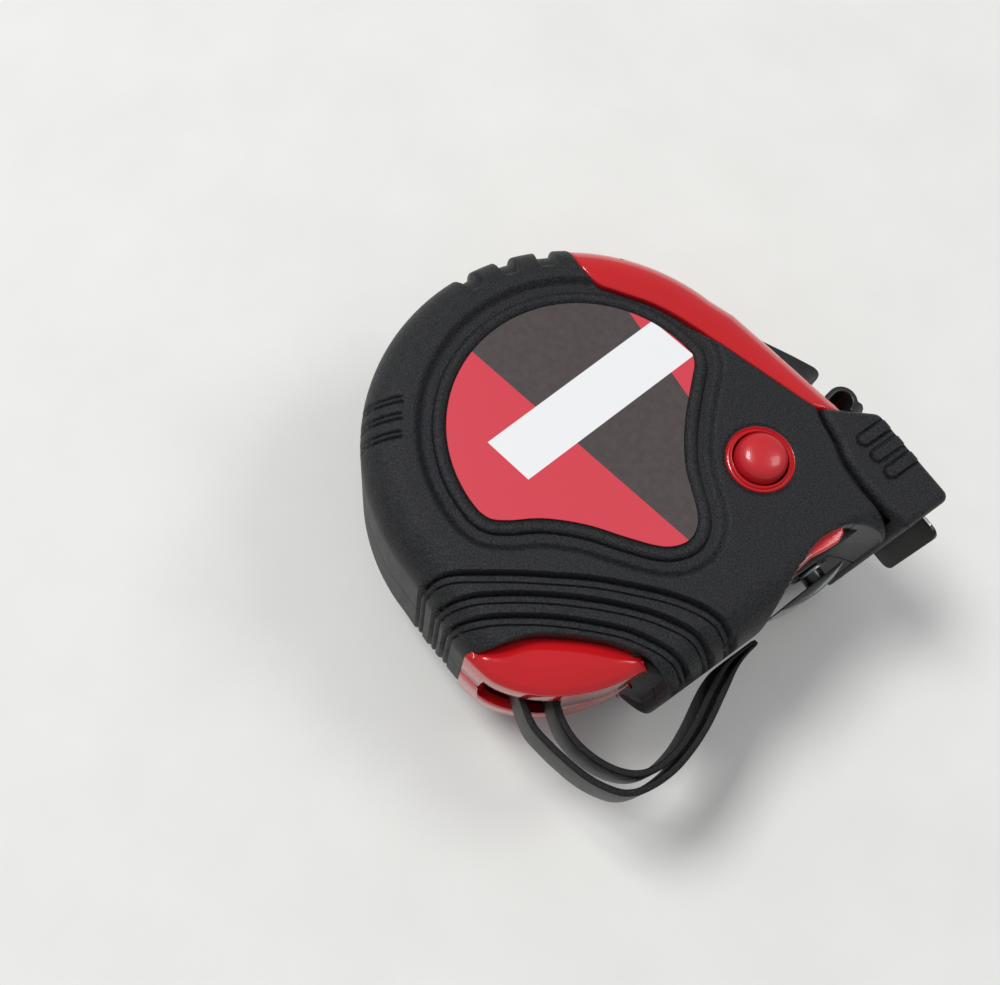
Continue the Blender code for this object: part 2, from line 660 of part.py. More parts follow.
def make_brake():
    """Bottom brake: a curved pad in the recess, a stem through the ceiling and a flange."""
    chord, top, lowest = 7.4, -46.0, BASE_Y + 0.2
    pad = [(SCOOP_X + chord * cos(radians(a)), top + (top - lowest) * sin(radians(a)))
           for a in range(180, 361, 20)]
    brake = seat(prism("brake_button", pad, MID_Z - 5, MID_Z + 5, PARTS), STEM_X, top, MID_Z)
    join(brake, post_y("brake_stem", STEM_X, MID_Z, STEM_R, top - 0.6, -41.9))
    join(brake, box("brake_flange", (SCOOP_X - 6, -42.1, MID_Z - 6),
                    (SCOOP_X + 8, -41.4, MID_Z + 6)))
    finish(brake, BLACK, 0.2)
    washer = post_y("brake_spring", STEM_X, MID_Z, 4.2, -44.6, -43.9, PARTS)
    cut(washer, post_y("brake_spring_hole", STEM_X, MID_Z, STEM_R + 0.4, -46, -42))
    finish(washer, STEEL, 0.3, 1.0)


# ---------------------------------------------------------------- strap, clip, screws

def ribbon(name, path, thick, z0, z1, closed, home=None):
    """A strip that stands on edge along a path."""
    rings = []
    count = len(path)
    for k in range(count):
        a = path[k - 1] if closed or k else path[k]
        b = path[(k + 1) % count] if closed or k < count - 1 else path[k]
        length = hypot(b[0] - a[0], b[1] - a[1])
        nx, ny = -(b[1] - a[1]) / length * thick / 2, (b[0] - a[0]) / length * thick / 2
        x, y = path[k]
        rings.append([(x + nx, y + ny, z0), (x - nx, y - ny, z0),
                      (x - nx, y - ny, z1), (x + nx, y + ny, z1)])
    return loft(name, rings, home, closed=closed)


def strap_path():
    """Two layers from the corner slot, round the pin and back from the folded end."""
    px, py = STRAP_PIN
    outer = [(-36.3, -32.6), (-37.4, -37.4), (-36.9, -42.0), (-36.0, -46.2), (-34.9, -50.0),
             (-33.3, -53.4), (-30.8, -56.6), (-27.2, -58.4), (-21.6, -58.8), (-16.0, -57.8),
             (-10.4, -55.9), (-4.6, -53.0), (0.4, -51.1), (4.4, -50.6)]
    inner = [(4.4, -49.15), (0.4, -49.3), (-5.4, -51.2), (-11.2, -54.1), (-16.4, -55.9),
             (-21.4, -56.6), (-25.6, -55.9), (-28.8, -53.5), (-31.2, -49.6), (-32.6, -44.6),
             (-32.4, -39.8), (-30.6, -34.4)]
    turn = [(5.6, -50.5), (6.1, -49.9), (5.6, -49.25)]
    loop = [(px + 2.6 * cos(radians(a)), py + 2.6 * sin(radians(a)))
            for a in (-15, 35, 85, 135, 185)]
    return spline(outer, 2) + turn + spline(inner, 2) + loop


def make_strap():
    pin = turned("strap_pin", *STRAP_PIN, [
        (0, MID_Z + 10.3), (1.5, MID_Z + 10.3), (1.5, MID_Z - 10.3), (0, MID_Z - 10.3)], PARTS, 16)
    finish(pin, STEEL, 0.3, 1.0)
    strap = ribbon("wrist_strap", strap_path(), STRAP_T, MID_Z - STRAP_W / 2, MID_Z + STRAP_W / 2,
                   True, PARTS)
    seat(strap, *STRAP_PIN, MID_Z)
    finish(strap, BLACK, 0.6)


def strip_z(name, path, ends=0):
    """The clip's strip along a path of (y, z); its last points narrow to a rounded tip."""
    rings = []
    for k, (y, z) in enumerate(path):
        a, b = path[max(k - 1, 0)], path[min(k + 1, len(path) - 1)]
        length = hypot(b[0] - a[0], b[1] - a[1])
        ny, nz = -(b[1] - a[1]) / length * CLIP_T / 2, (b[0] - a[0]) / length * CLIP_T / 2
        half = CLIP_W / 2 - 2.5 * max(k - len(path) + 1 + ends, 0)
        rings.append([(-half, y + ny, z + nz), (half, y + ny, z + nz),
                      (half, y - ny, z - nz), (-half, y - ny, z - nz)])
    return loft(name, rings, PARTS)


def make_clip():
    """Belt clip: a plate under the screw, and the sprung strip that bends round to the leaf."""
    pad_z = BACK_Z - GAP - CLIP_T / 2
    plate = strip_z("clip_plate", [(8.4, pad_z), (CLIP_BEND_Y - CLIP_PLAY, pad_z)])
    cut(plate, cylinder("clip_hole", 0, CLIP_SCREW_Y, 2.0, 3.0, BACK_Z + 1, sides=16))
    finish(plate, (0.5, 0.5, 0.52), 0.35, 1.0, smooth=False)
    bend_r = (pad_z - CLIP_T / 2) / 2
    path = [(CLIP_BEND_Y + bend_r * sin(radians(a)), CLIP_T / 2 + bend_r * (1 + cos(radians(a))))
            for a in (0, 36, 72, 108, 144)]
    path += [(CLIP_BEND_Y, CLIP_T / 2), (-20.0, CLIP_T / 2), (-23.4, 1.6), (-25.6, 3.0)]
    clip = strip_z("belt_clip", path, ends=2)
    seat(clip, 0, CLIP_BEND_Y, CLIP_T / 2 + bend_r)
    cut(clip, cylinder("clip_driver_hole", 0, CLIP_SCREW_Y, 3.2, -1, 3.0, sides=16))
    finish(clip, (0.5, 0.5, 0.52), 0.35, 1.0)
    screw = turned("clip_screw", 0, CLIP_SCREW_Y, [
        (0, 12.4), (1.2, 12.4), (1.2, 4.2), (3.0, 4.2), (3.0, 2.9), (0, 2.9)], PARTS, 16)
    finish(screw, STEEL, 0.35, 1.0)


def make_screws():
    for k, (x, y, drop) in enumerate(SCREWS):
        under = BACK_Z + drop + 3.1
        screw = turned("case_screw_%d" % (k + 1), x, y, [
            (0, MID_Z + 6.4), (1.0, MID_Z + 6.4), (1.0, under), (2.6, under), (2.6, under - 1.7),
            (0, under - 1.7)], PARTS, 16)
        finish(screw, STEEL, 0.35, 1.0)


def main():
    make_grips()
    make_shells()
    make_nose_cap()
    make_label()
    make_reel()
    make_power_spring()
    make_tongue()
    make_hook()
    make_side_button()
    make_lock()
    make_brake()
    make_strap()
    make_clip()
    make_screws()


main()
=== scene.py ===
"""Looks of the pocket tape measure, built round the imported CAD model.

Outlines are in millimetres from the reel's axis, as in the CAD source; to_frame() turns them
into metres in the shared frame. Side 1 is the label's side, side -1 the clip's.
"""
from contextlib import contextmanager
from math import atan2, cos, hypot, pi, radians, sin

import bmesh
import bpy
import numpy as np
from mathutils import Matrix, Vector
from mathutils.geometry import delaunay_2d_cdt


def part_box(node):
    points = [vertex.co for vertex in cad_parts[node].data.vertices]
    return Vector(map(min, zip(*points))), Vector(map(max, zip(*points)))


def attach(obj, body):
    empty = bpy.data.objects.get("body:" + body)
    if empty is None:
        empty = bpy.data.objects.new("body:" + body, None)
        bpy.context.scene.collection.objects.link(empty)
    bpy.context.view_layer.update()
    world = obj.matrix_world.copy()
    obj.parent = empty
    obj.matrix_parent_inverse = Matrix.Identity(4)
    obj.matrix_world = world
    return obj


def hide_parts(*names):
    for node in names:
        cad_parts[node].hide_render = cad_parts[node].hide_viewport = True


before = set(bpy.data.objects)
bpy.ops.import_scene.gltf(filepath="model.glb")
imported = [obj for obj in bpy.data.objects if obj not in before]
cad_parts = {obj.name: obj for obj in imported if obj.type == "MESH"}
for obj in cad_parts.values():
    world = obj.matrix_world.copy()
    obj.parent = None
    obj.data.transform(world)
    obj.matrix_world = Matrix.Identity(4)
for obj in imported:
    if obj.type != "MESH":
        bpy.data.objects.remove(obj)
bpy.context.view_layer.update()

MM = 0.001
axis_low, axis_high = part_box("centre_post")
REEL_X = (axis_low.x + axis_high.x) / 2 / MM
REEL_Y = (axis_low.y + axis_high.y) / 2 / MM
grip_low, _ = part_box("grip_back")
_, grip_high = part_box("grip_front")
BACK_Z = grip_low.z / MM
FRONT_Z = grip_high.z / MM
HALF = (FRONT_Z - BACK_Z) / 2
MID_Z = (FRONT_Z + BACK_Z) / 2

CASE_R = 42.0
BASE_Y = -48.0
NOSE_X = 47.8
SHOULDER = 8.0
SLOPE = (42.7, 5.0)
SLOPE_DIR = (0.1710, -0.9853)
SCOOP = (24.8, -54.0, 13.0)
BUTTON = (24.0, -22.7)
STEP = 1.3
STEP_HALF = 0.28
EDGE_R = 0.55
MOUTH_LOW, MOUTH_HIGH = -43.6, -37.9
CHANNEL = 13.4
CEILING_LOW, CEILING_HIGH = -43.6, -42.5
STEM_X = 27.4

LABEL_LOWER = [(-26.0, -1.9), (-25.0, -4.4), (-22.2, -6.6), (-17.0, -9.6), (-11.3, -14.8),
               (-6.6, -20.8), (-2.8, -25.3), (0.2, -27.3), (3.4, -27.7), (6.2, -26.2),
               (8.0, -23.6), (9.4, -20.5), (11.2, -16.5), (14.2, -12.2), (18.2, -7.8),
               (23.7, -2.8), (26.2, -0.5), (27.3, 1.6)]
STEP_LINES = [
    [(-52.0, -5.6), (-40.8, -7.0), (-36.8, -8.2), (-31.8, -11.4), (-26.8, -14.8),
     (-21.8, -18.6), (-15.8, -23.4), (-10.8, -28.3), (-6.8, -32.6), (-3.8, -36.6),
     (-1.8, -40.6), (-1.0, -45.0), (-0.8, -60.0)],
    [(-52.0, -9.6), (-41.6, -11.4), (-35.8, -13.4), (-30.8, -16.2), (-25.8, -19.6),
     (-20.8, -23.6), (-15.8, -28.2), (-11.2, -33.2), (-8.3, -37.4), (-6.5, -41.0),
     (-5.8, -45.0), (-5.4, -60.0)],
    [(-52.0, -12.4), (-41.8, -15.0), (-35.8, -17.6), (-30.8, -20.6), (-25.8, -24.2),
     (-20.8, -28.6), (-15.8, -33.8), (-12.9, -38.4), (-11.3, -42.0), (-10.6, -46.0),
     (-10.4, -60.0)]]
CORNER_LINE = [(-60, -16.0), (-46.0, -19.0), (-38.8, -22.6), (-31.0, -24.8), (-25.8, -28.2),
               (-20.8, -32.6), (-17.3, -37.0), (-15.2, -42.0), (-14.0, -60.0)]
STRIP_LINE = [(24.5, 50.0), (21.8, 35.0), (20.5, 30.5), (20.2, 27.0), (21.0, 23.5), (22.7, 21.0),
              (24.9, 18.0), (27.2, 14.8), (29.3, 10.8), (31.2, 6.0), (33.2, 0.0), (35.2, -6.0),
              (37.2, -12.0), (39.2, -17.8), (40.3, -20.1)]
NOSE_LINE = [(40.3, -20.1), (39.2, -23.0), (38.1, -28.0), (36.6, -32.0), (36.1, -38.0),
             (36.5, -43.0), (36.9, -48.0), (37.0, -60.0)]
CAP_TOP = [(40.3, -20.1), (44.0, -23.12), (52.0, -29.65)]


# ---------------------------------------------------------------- plane geometry

def arc(cx, cy, r, start, end, count):
    """Points along an arc from one angle to another, in degrees."""
    angles = [radians(start + (end - start) * k / (count - 1)) for k in range(count)]
    return [(cx + r * cos(a), cy + r * sin(a)) for a in angles]


def spline(points, steps):
    """A smooth curve through the points, with some steps between each two."""
    ends = [points[0]] + list(points) + [points[-1]]
    out = []
    for k in range(1, len(ends) - 2):
        p0, p1, p2, p3 = ends[k - 1:k + 3]
        for i in range(steps):
            t = i / steps
            out.append(tuple(0.5 * (2 * b + (c - a) * t + (2 * a - 5 * b + 4 * c - d) * t * t
                                    + (3 * b - a - 3 * c + d) * t ** 3)
                             for a, b, c, d in zip(p0, p1, p2, p3)))
    out.append(tuple(points[-1]))
    return out


def round_corners(points, radii):
    """Closed outline with some corners, given by index, rounded to a radius."""
    out = []
    count = len(points)
    for k, b in enumerate(points):
        if k not in radii:
            out.append(b)
            continue
        r = radii[k]
        b = Vector(b)
        to_a = (Vector(points[k - 1]) - b).normalized()
        to_c = (Vector(points[(k + 1) % count]) - b).normalized()
        half = to_a.angle(to_c) / 2
        centre = b + (to_a + to_c).normalized() * (r / sin(half))
        start = b + to_a * (r / np.tan(half)) - centre
        end = b + to_c * (r / np.tan(half)) - centre
        a0, a1 = atan2(start.y, start.x), atan2(end.y, end.x)
        turn = (a1 - a0 + pi) % (2 * pi) - pi
        steps = 10
        for i in range(steps + 1):
            a = a0 + turn * i / steps
            out.append((centre.x + r * cos(a), centre.y + r * sin(a)))
    return out


def resample(points, spacing, closed=False):
    """Points at an even spacing along a line."""
    p = np.array(points, float)
    if closed:
        p = np.vstack([p, p[:1]])
    length = np.concatenate([[0], np.cumsum(np.hypot(*np.diff(p, axis=0).T))])
    count = max(int(round(length[-1] / spacing)), 2)
    at = np.linspace(0, length[-1], count + 1)
    out = np.stack([np.interp(at, length, p[:, 0]), np.interp(at, length, p[:, 1])], 1)
    return out[:-1] if closed else out


def distance(xy, line, closed=False):
    """Signed distance to a line, positive on its right side, and the nearest point on it."""
    a = np.array(line, float)
    count = len(a)
    stride = 8 if count > 60 else 1
    reach = 14
    best = np.empty(len(xy))
    near = np.empty((len(xy), 2))
    for start in range(0, len(xy), 8000):
        p = xy[start:start + 8000]
        coarse = ((p[:, None] - a[None, ::stride]) ** 2).sum(2).argmin(1) * stride
        if stride == 1:
            k = np.broadcast_to(np.arange(count), (len(p), count))
        else:
            k = coarse[:, None] + np.arange(-reach, reach + 1)[None]
        k = k % count if closed else np.clip(k, 0, count - 2)
        first, ab = a[k], a[(k + 1) % count] - a[k]
        rel = p[:, None] - first
        t = np.clip((rel * ab).sum(2) / np.maximum((ab ** 2).sum(2), 1e-12), 0, 1)
        q = first + t[..., None] * ab
        d2 = ((p[:, None] - q) ** 2).sum(2)
        i = d2.argmin(1)
        rows = np.arange(len(p))
        cross = ab[rows, i, 0] * rel[rows, i, 1] - ab[rows, i, 1] * rel[rows, i, 0]
        best[start:start + 8000] = np.sqrt(d2[rows, i]) * np.where(cross > 0, -1.0, 1.0)
        near[start:start + 8000] = q[rows, i]
    return best, near


def nearest(line, place):
    """Index of the line's point that is nearest to a place."""
    return int(np.hypot(*(np.array(line) - place).T).argmin())


def offset_line(line, distance_out, closed=False):
    """The line moved to its right side."""
    p = np.array(line, float)
    if closed:
        tangent = np.roll(p, -1, 0) - np.roll(p, 1, 0)
    else:
        tangent = np.gradient(p, axis=0)
    tangent /= np.hypot(*tangent.T)[:, None]
    return p + np.stack([tangent[:, 1], -tangent[:, 0]], 1) * distance_out


def inside(xy, polygon):
    """Which of the points lie inside a closed polygon."""
    poly = np.array(polygon, float)
    x, y = xy[:, 0], xy[:, 1]
    odd = np.zeros(len(xy), bool)
    for (x0, y0), (x1, y1) in zip(poly, np.roll(poly, -1, 0)):
        if y0 == y1:
            continue
        hit = (y0 > y) != (y1 > y)
        odd ^= hit & (x < (x1 - x0) * (y - y0) / (y1 - y0) + x0)
    return odd


def smooth(t):
    """0 below t = 0 and 1 above t = 1, with soft ends between."""
    t = np.clip(t, 0, 1)
    return t * t * (3 - 2 * t)


def bump(s, width):
    """1 at s = 0, 0 from s = width on, rounded."""
    return 1 - smooth(np.abs(s) / width)


# ---------------------------------------------------------------- meshes and materials

def to_frame(points):
    """Millimetres from the reel axis -> metres in the frame."""
    p = np.array(points, float).reshape(-1, 3)
    return (p + [REEL_X, REEL_Y, 0.0]) * MM


def add_object(name, mesh, material=None, angle=None):
    """A new object in the scene from a mesh, with its material and smooth shading."""
    if material:
        mesh.materials.append(material)
    if angle is not None:
        mesh.shade_smooth()
        mesh.set_sharp_from_angle(angle=radians(angle))
    thing = bpy.data.objects.new(name, mesh)
    bpy.context.scene.collection.objects.link(thing)
    return thing


def mesh_of(name, bm):
    """A mesh from a bmesh, which is freed."""
    mesh = bpy.data.meshes.new(name)
    bm.to_mesh(mesh)
    bm.free()
    return mesh


@contextmanager
def editing(mesh):
    """A mesh as a bmesh, written back at the end."""
    bm = bmesh.new()
    bm.from_mesh(mesh)
    yield bm
    bm.to_mesh(mesh)
    bm.free()


def mesh_object(name, points, faces, material, angle=40):
    """A smooth-shaded closed mesh, from points in millimetres from the reel axis."""
    mesh = bpy.data.meshes.new(name)
    mesh.from_pydata([tuple(p) for p in to_frame(points)], [], [tuple(f) for f in faces])
    mesh.validate()
    thing = add_object(name, mesh, material, angle)
    with editing(mesh) as bm:
        bmesh.ops.recalc_face_normals(bm, faces=bm.faces)
    return thing


def settle(thing, body, slot, *nodes):
    """The piece rides on a body and stands for CAD nodes, which it hides; slot is not used."""
    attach(thing, body)
    if nodes:
        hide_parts(*nodes)
    return thing


class Nodes:
    """Short-hand for building a node material."""

    def __init__(self, name, colour, rough, **inputs):
        self.material = bpy.data.materials.new(name)
        self.material.use_nodes = True
        self.tree = self.material.node_tree
        self.shader = self.tree.nodes["Principled BSDF"]
        self.shader.inputs["Base Color"].default_value = (*colour, 1.0)
        self.shader.inputs["Roughness"].default_value = rough
        for key, value in inputs.items():
            self.shader.inputs[key.replace("_", " ")].default_value = value
        self.material.diffuse_color = (*colour, 1.0)

    def node(self, kind, **settings):
        made = self.tree.nodes.new("ShaderNode" + kind)
        for key, value in settings.items():
            setattr(made, key, value)
        return made

    def link(self, a, b):
        self.tree.links.new(a, b)

    def coords(self):
        return self.node("TexCoord").outputs["Object"]

    def noise(self, scale, detail=3.0, rough=0.6, stretch=None):
        made = self.node("TexNoise")
        made.inputs["Scale"].default_value = scale
        made.inputs["Detail"].default_value = detail
        made.inputs["Roughness"].default_value = rough
        source = self.coords()
        if stretch:
            mapping = self.node("Mapping")
            mapping.inputs["Scale"].default_value = stretch
            self.link(source, mapping.inputs["Vector"])
            source = mapping.outputs["Vector"]
        self.link(source, made.inputs["Vector"])
        return made.outputs["Fac"]

    def ramp(self, source, *stops):
        made = self.node("ValToRGB")
        elements = made.color_ramp.elements
        while len(elements) < len(stops):
            elements.new(0.5)
        for element, (place, colour) in zip(elements, stops):
            element.position = place
            element.color = (*colour, 1.0) if len(colour) == 3 else colour
        self.link(source, made.inputs["Fac"])
        return made.outputs["Color"]

    def remap(self, source, low, high):
        made = self.node("MapRange")
        made.inputs["To Min"].default_value = low
        made.inputs["To Max"].default_value = high
        self.link(source, made.inputs["Value"])
        return made.outputs["Result"]

    def bump(self, source, strength, size):
        made = self.node("Bump")
        made.inputs["Strength"].default_value = strength
        made.inputs["Distance"].default_value = size
        self.link(source, made.inputs["Height"])
        last = self.shader.inputs["Normal"]
        if last.is_linked:
            self.link(last.links[0].from_socket, made.inputs["Normal"])
        self.link(made.outputs["Normal"], last)

    def paint(self, source):
        self.link(source, self.shader.inputs["Base Color"])

    def roughen(self, source, low, high):
        self.link(self.remap(source, low, high), self.shader.inputs["Roughness"])

    def math(self, operation, *values):
        made = self.node("Math", operation=operation)
        for socket, value in zip(made.inputs, values):
            if isinstance(value, (int, float)):
                socket.default_value = value
            else:
                self.link(value, socket)
        return made.outputs["Value"]

    def mix(self, factor, a, b):
        made = self.node("Mix", data_type='RGBA')
        sockets = {s.identifier: s for s in made.inputs}
        self.link(factor, sockets["Factor_Float"])
        for key, value in (("A_Color", a), ("B_Color", b)):
            if isinstance(value, tuple):
                sockets[key].default_value = (*value, 1.0)
            else:
                self.link(value, sockets[key])
        return {s.identifier: s for s in made.outputs}["Result_Color"]


def shade(colour, factor):
    """A colour made lighter or darker."""
    return tuple(min(c * factor, 1.0) for c in colour)


def rubber(name, colour=(0.0125, 0.013, 0.0145), rough=0.47):
    """Moulded thermoplastic rubber: fine spark-eroded grain, slightly uneven sheen."""
    n = Nodes(name, colour, rough, Specular_IOR_Level=0.27)
    grain = n.noise(3000.0, 2.0, 0.8)
    n.paint(n.ramp(grain, (0.40, shade(colour, 0.25)), (0.66, shade(colour, 2.1))))
    n.roughen(n.noise(400.0, 2.0), rough - 0.06, rough + 0.08)
    n.bump(n.noise(2700.0, 2.0, 0.75), 1.0, 0.0002)
    n.bump(n.noise(1300.0, 2.0, 0.5), 0.3, 0.00014)
    return n.material


def gloss(name, colour, rough=0.12):
    """Polished ABS: a clear glossy skin with faint moulding waves and micro scratches."""
    n = Nodes(name, colour, rough, Coat_Weight=0.35, Coat_Roughness=0.06)
    n.paint(n.ramp(n.noise(60.0, 2.0), (0.3, shade(colour, 0.93)), (0.8, shade(colour, 1.06))))
    n.roughen(n.noise(700.0, 3.0), rough - 0.03, rough + 0.07)
    n.bump(n.noise(120.0, 1.0), 0.06, 0.0002)
    n.bump(n.noise(900.0, 3.0, 0.7, stretch=(1.0, 6.0, 1.0)), 0.05, 0.00003)
    return n.material


def satin(name, colour, rough=0.35):
    """Moulded plastic with a fine texture."""
    n = Nodes(name, colour, rough)
    n.paint(n.ramp(n.noise(150.0), (0.3, shade(colour, 0.8)), (0.8, shade(colour, 1.3))))
    n.roughen(n.noise(500.0), rough - 0.07, rough + 0.09)
    n.bump(n.noise(3000.0), 0.2, 0.00005)
    return n.material


def metal(name, colour, rough=0.28, metallic=1.0):
    """Rolled steel with a drawn grain."""
    n = Nodes(name, colour, rough, Metallic=metallic)
    lines = n.noise(500.0, 4.0, 0.6, stretch=(1.0, 30.0, 1.0))
    n.paint(n.ramp(lines, (0.3, shade(colour, 0.85)), (0.7, shade(colour, 1.1))))
    n.roughen(lines, rough - 0.06, rough + 0.12)
    n.bump(lines, 0.1, 0.00004)
    return n.material


RUBBER = rubber("rubber_black")
CAP_RUBBER = rubber("rubber_cap", (0.0125, 0.013, 0.0145), 0.46)
STRAP_RUBBER = rubber("rubber_strap", (0.004, 0.004, 0.005), 0.4)
RED = gloss("abs_red", (0.56, 0.008, 0.012))
BUTTON_RED = gloss("abs_red_satin", (0.55, 0.012, 0.018), 0.3)
BLACK = satin("plastic_black", (0.013, 0.013, 0.014))
GREY = satin("plastic_grey", (0.2, 0.2, 0.21), 0.5)
STEEL = metal("steel_bright", (0.60, 0.60, 0.61))
SPRING = metal("steel_spring", (0.42, 0.43, 0.46), 0.3)
HOOK = metal("steel_black", (0.006, 0.005, 0.004), 0.3, metallic=0.1)
# Lit and shaded copies of one black plastic: the recess wall's lighter black is painted light, and
# the near-black after it is painted shade for the recess's pocket, web and ceiling and the corner's
# liners.
PAINTED_LIGHT_WALL = satin("plastic_wall", (0.030, 0.032, 0.031), 0.42)
PAINTED_SHADE_BLACK = satin("plastic_pit", (0.004, 0.004, 0.0045), 0.6)
GLOSS_BLACK = gloss("plastic_gloss_black", (0.055, 0.057, 0.056), 0.2)


# ---------------------------------------------------------------- the case's form

def case_outline():
    lower_left = [(-42.0, -12.0), (-41.6, -21.0), (-40.2, -27.0), (-36.8, -33.0), (-31.6, -38.4)]
    points = [(NOSE_X, BASE_Y), (NOSE_X, -25.0), (45.8, -13.1), SLOPE]
    points += arc(0, 0, CASE_R, 14, 184, 60) + spline(lower_left, 4) + [(-14.0, BASE_Y)]
    return round_corners(points, {0: 3.0, len(points) - 1: 3.0})


OUTLINE = resample(case_outline(), 0.25, closed=True)
LABEL = resample(arc(0.6, 0.2, 26.7, 9, 181, 60) + spline(LABEL_LOWER, 5), 0.4, closed=True)
STEPS = [resample(spline(line, 6), 0.4) for line in STEP_LINES]
CORNER = resample(spline(CORNER_LINE, 6), 0.3)
STRIP = resample(spline(STRIP_LINE, 6), 0.3)
NOSE = resample(spline(NOSE_LINE, 6), 0.3)
TOP_OF_CAP = resample(CAP_TOP, 0.3)
FLARE = [(-6.0, -53.6), (-1.0, -51.2), (3.5, -49.1), (7.0, -47.5), (10.0, -46.1), (13.0, -44.8),
         (15.6, -43.6), (17.2, -42.8)]
HOLE = spline(FLARE, 6) + arc(SCOOP[0], SCOOP[1], SCOOP[2], 118, 5, 60)
RIM_TURNS = [0, 7, 14, 21, 28, 35, 42]
SKIRT = 1.5


def normals_of(outline):
    """Unit normals of a closed outline, on its left side."""
    tangent = np.roll(outline, -1, 0) - np.roll(outline, 1, 0)
    tangent /= np.hypot(*tangent.T)[:, None]
    return np.stack([-tangent[:, 1], tangent[:, 0]], 1)


INWARD = normals_of(OUTLINE)


def inset_row(depth):
    """The case's outline moved inwards."""
    return OUTLINE + INWARD * depth


def crossing(row, line):
    """Parameter (in outline steps) where a line crosses a closed row of points."""
    s, _ = distance(row, line)
    ends = np.array([line[0], line[-1]])
    found = []
    for k in np.nonzero(np.sign(s) != np.sign(np.roll(s, -1)))[0]:
        j = (k + 1) % len(row)
        p = row[k]
        if abs(s[k]) > 1.5 or min(np.hypot(*(ends - p).T)) < 1.0:
            continue
        found.append(k + s[k] / (s[k] - s[j]))
    return found


def pick(found, near):
    """The crossing nearest to an outline parameter."""
    count = len(OUTLINE)
    return min(found, key=lambda u: abs((u - near + count / 2) % count - count / 2))


# Each way in which a region's border crosses the rim: its line and about where.
ANCHORS = {
    "nose": (NOSE, (37.5, BASE_Y)),
    "front": (TOP_OF_CAP, (47.5, -26.0)),
    "top": (STRIP, (23.0, 35.0)),
    "left": (CORNER, (-41.0, -21.0)),
    "base": (CORNER, (-14.5, BASE_Y)),
    "scoop_a": (HOLE, (5.8, BASE_Y)),
    "scoop_b": (HOLE, (36.3, BASE_Y)),
}


def anchor(name, depth):
    """Outline parameter at which a border crosses the rim, at some inset."""
    line, place = ANCHORS[name]
    return pick(crossing(inset_row(depth), line), nearest(OUTLINE, place))


def row_points(depth, params):
    """Points of the inset outline at given parameters."""
    row = inset_row(depth)
    count = len(row)
    low = np.floor(params).astype(int)
    t = (params - low)[:, None]
    return row[low % count] * (1 - t) + row[(low + 1) % count] * t


def columns(start, end, spacing):
    """Outline parameters from one anchor to the next, closer together at both ends."""
    if end < start:
        end += len(OUTLINE)
    total = (end - start) * 0.25
    edge = [0.0, 0.1, 0.22, 0.36, 0.55]
    middle = np.linspace(0.85, total - 0.85, max(int(total / spacing), 2))
    at = np.concatenate([edge, middle, total - np.array(edge[::-1])])
    return start + at / 0.25


class Form:
    """The case's surface on one side: its height and how far details lie under it."""

    def __init__(self, side, stepped=True):
        self.side = side
        self.stepped = stepped

    def shoulder(self, xy):
        """Distance to the outline and the outward direction there."""
        s, near = distance(xy, OUTLINE, closed=True)
        d = np.abs(s)
        away = near - xy
        size = np.hypot(*away.T)
        out = np.where(size[:, None] > 1e-6, away / np.maximum(size, 1e-6)[:, None], 0.0)
        return d, out

    def drop(self, xy):
        """How far the steps of the lower grip lower the surface."""
        total = np.zeros(len(xy))
        if self.stepped:
            for line in STEPS:
                s, _ = distance(xy, line)
                total += STEP * smooth((s + STEP_HALF) / (2 * STEP_HALF))
        return total


def fill_face(loop, spacing, margin, extra=(), rings=()):
    """Triangles inside a closed loop and outside closed rings, over an even scatter of points.

    extra: more points; margin: how far the points stay from the loop and the rings.
    """
    grid_x = np.arange(loop[:, 0].min(), loop[:, 0].max(), spacing)
    grid_y = np.arange(loop[:, 1].min(), loop[:, 1].max(), spacing * 0.87)
    gx, gy = np.meshgrid(grid_x, grid_y)
    gx = gx + (np.arange(len(grid_y)) % 2)[:, None] * spacing / 2
    scatter = np.vstack([np.stack([gx.ravel(), gy.ravel()], 1), *extra])
    scatter = scatter[inside(scatter, loop)]
    s, _ = distance(scatter, loop, closed=True)
    scatter = scatter[np.abs(s) > margin]
    coords = [Vector(p) for p in loop]
    edges = [(k, (k + 1) % len(loop)) for k in range(len(loop))]
    for ring in rings:
        s, _ = distance(scatter, ring, closed=True)
        scatter = scatter[~inside(scatter, ring) & (np.abs(s) > margin)]
        first = len(coords)
        coords += [Vector(p) for p in ring]
        edges += [(first + k, first + (k + 1) % len(ring)) for k in range(len(ring))]
    coords += [Vector(p) for p in scatter]
    flat, _, triangles, *_ = delaunay_2d_cdt(coords, edges, [], 0, 1e-7)
    flat = np.array([p[:] for p in flat])
    triangles = np.array(triangles)
    centre = flat[triangles].mean(1)
    good = inside(centre, loop)
    for ring in rings:
        good &= ~inside(centre, ring)
    return flat, triangles[good]


def bmesh_of(points, faces, away=None):
    """A bmesh from points in millimetres; away gives each point an outward direction."""
    bm = bmesh.new()
    layer = None if away is None else bm.verts.layers.float_vector.new("away")
    verts = [bm.verts.new(p) for p in to_frame(points)]
    for f in faces:
        try:
            bm.faces.new([verts[i] for i in f])
        except ValueError:
            pass
    if away is not None:
        for vert, direction in zip(verts, away):
            vert[layer] = direction
    bmesh.ops.remove_doubles(bm, verts=bm.verts, dist=2e-6)
    return bm, layer


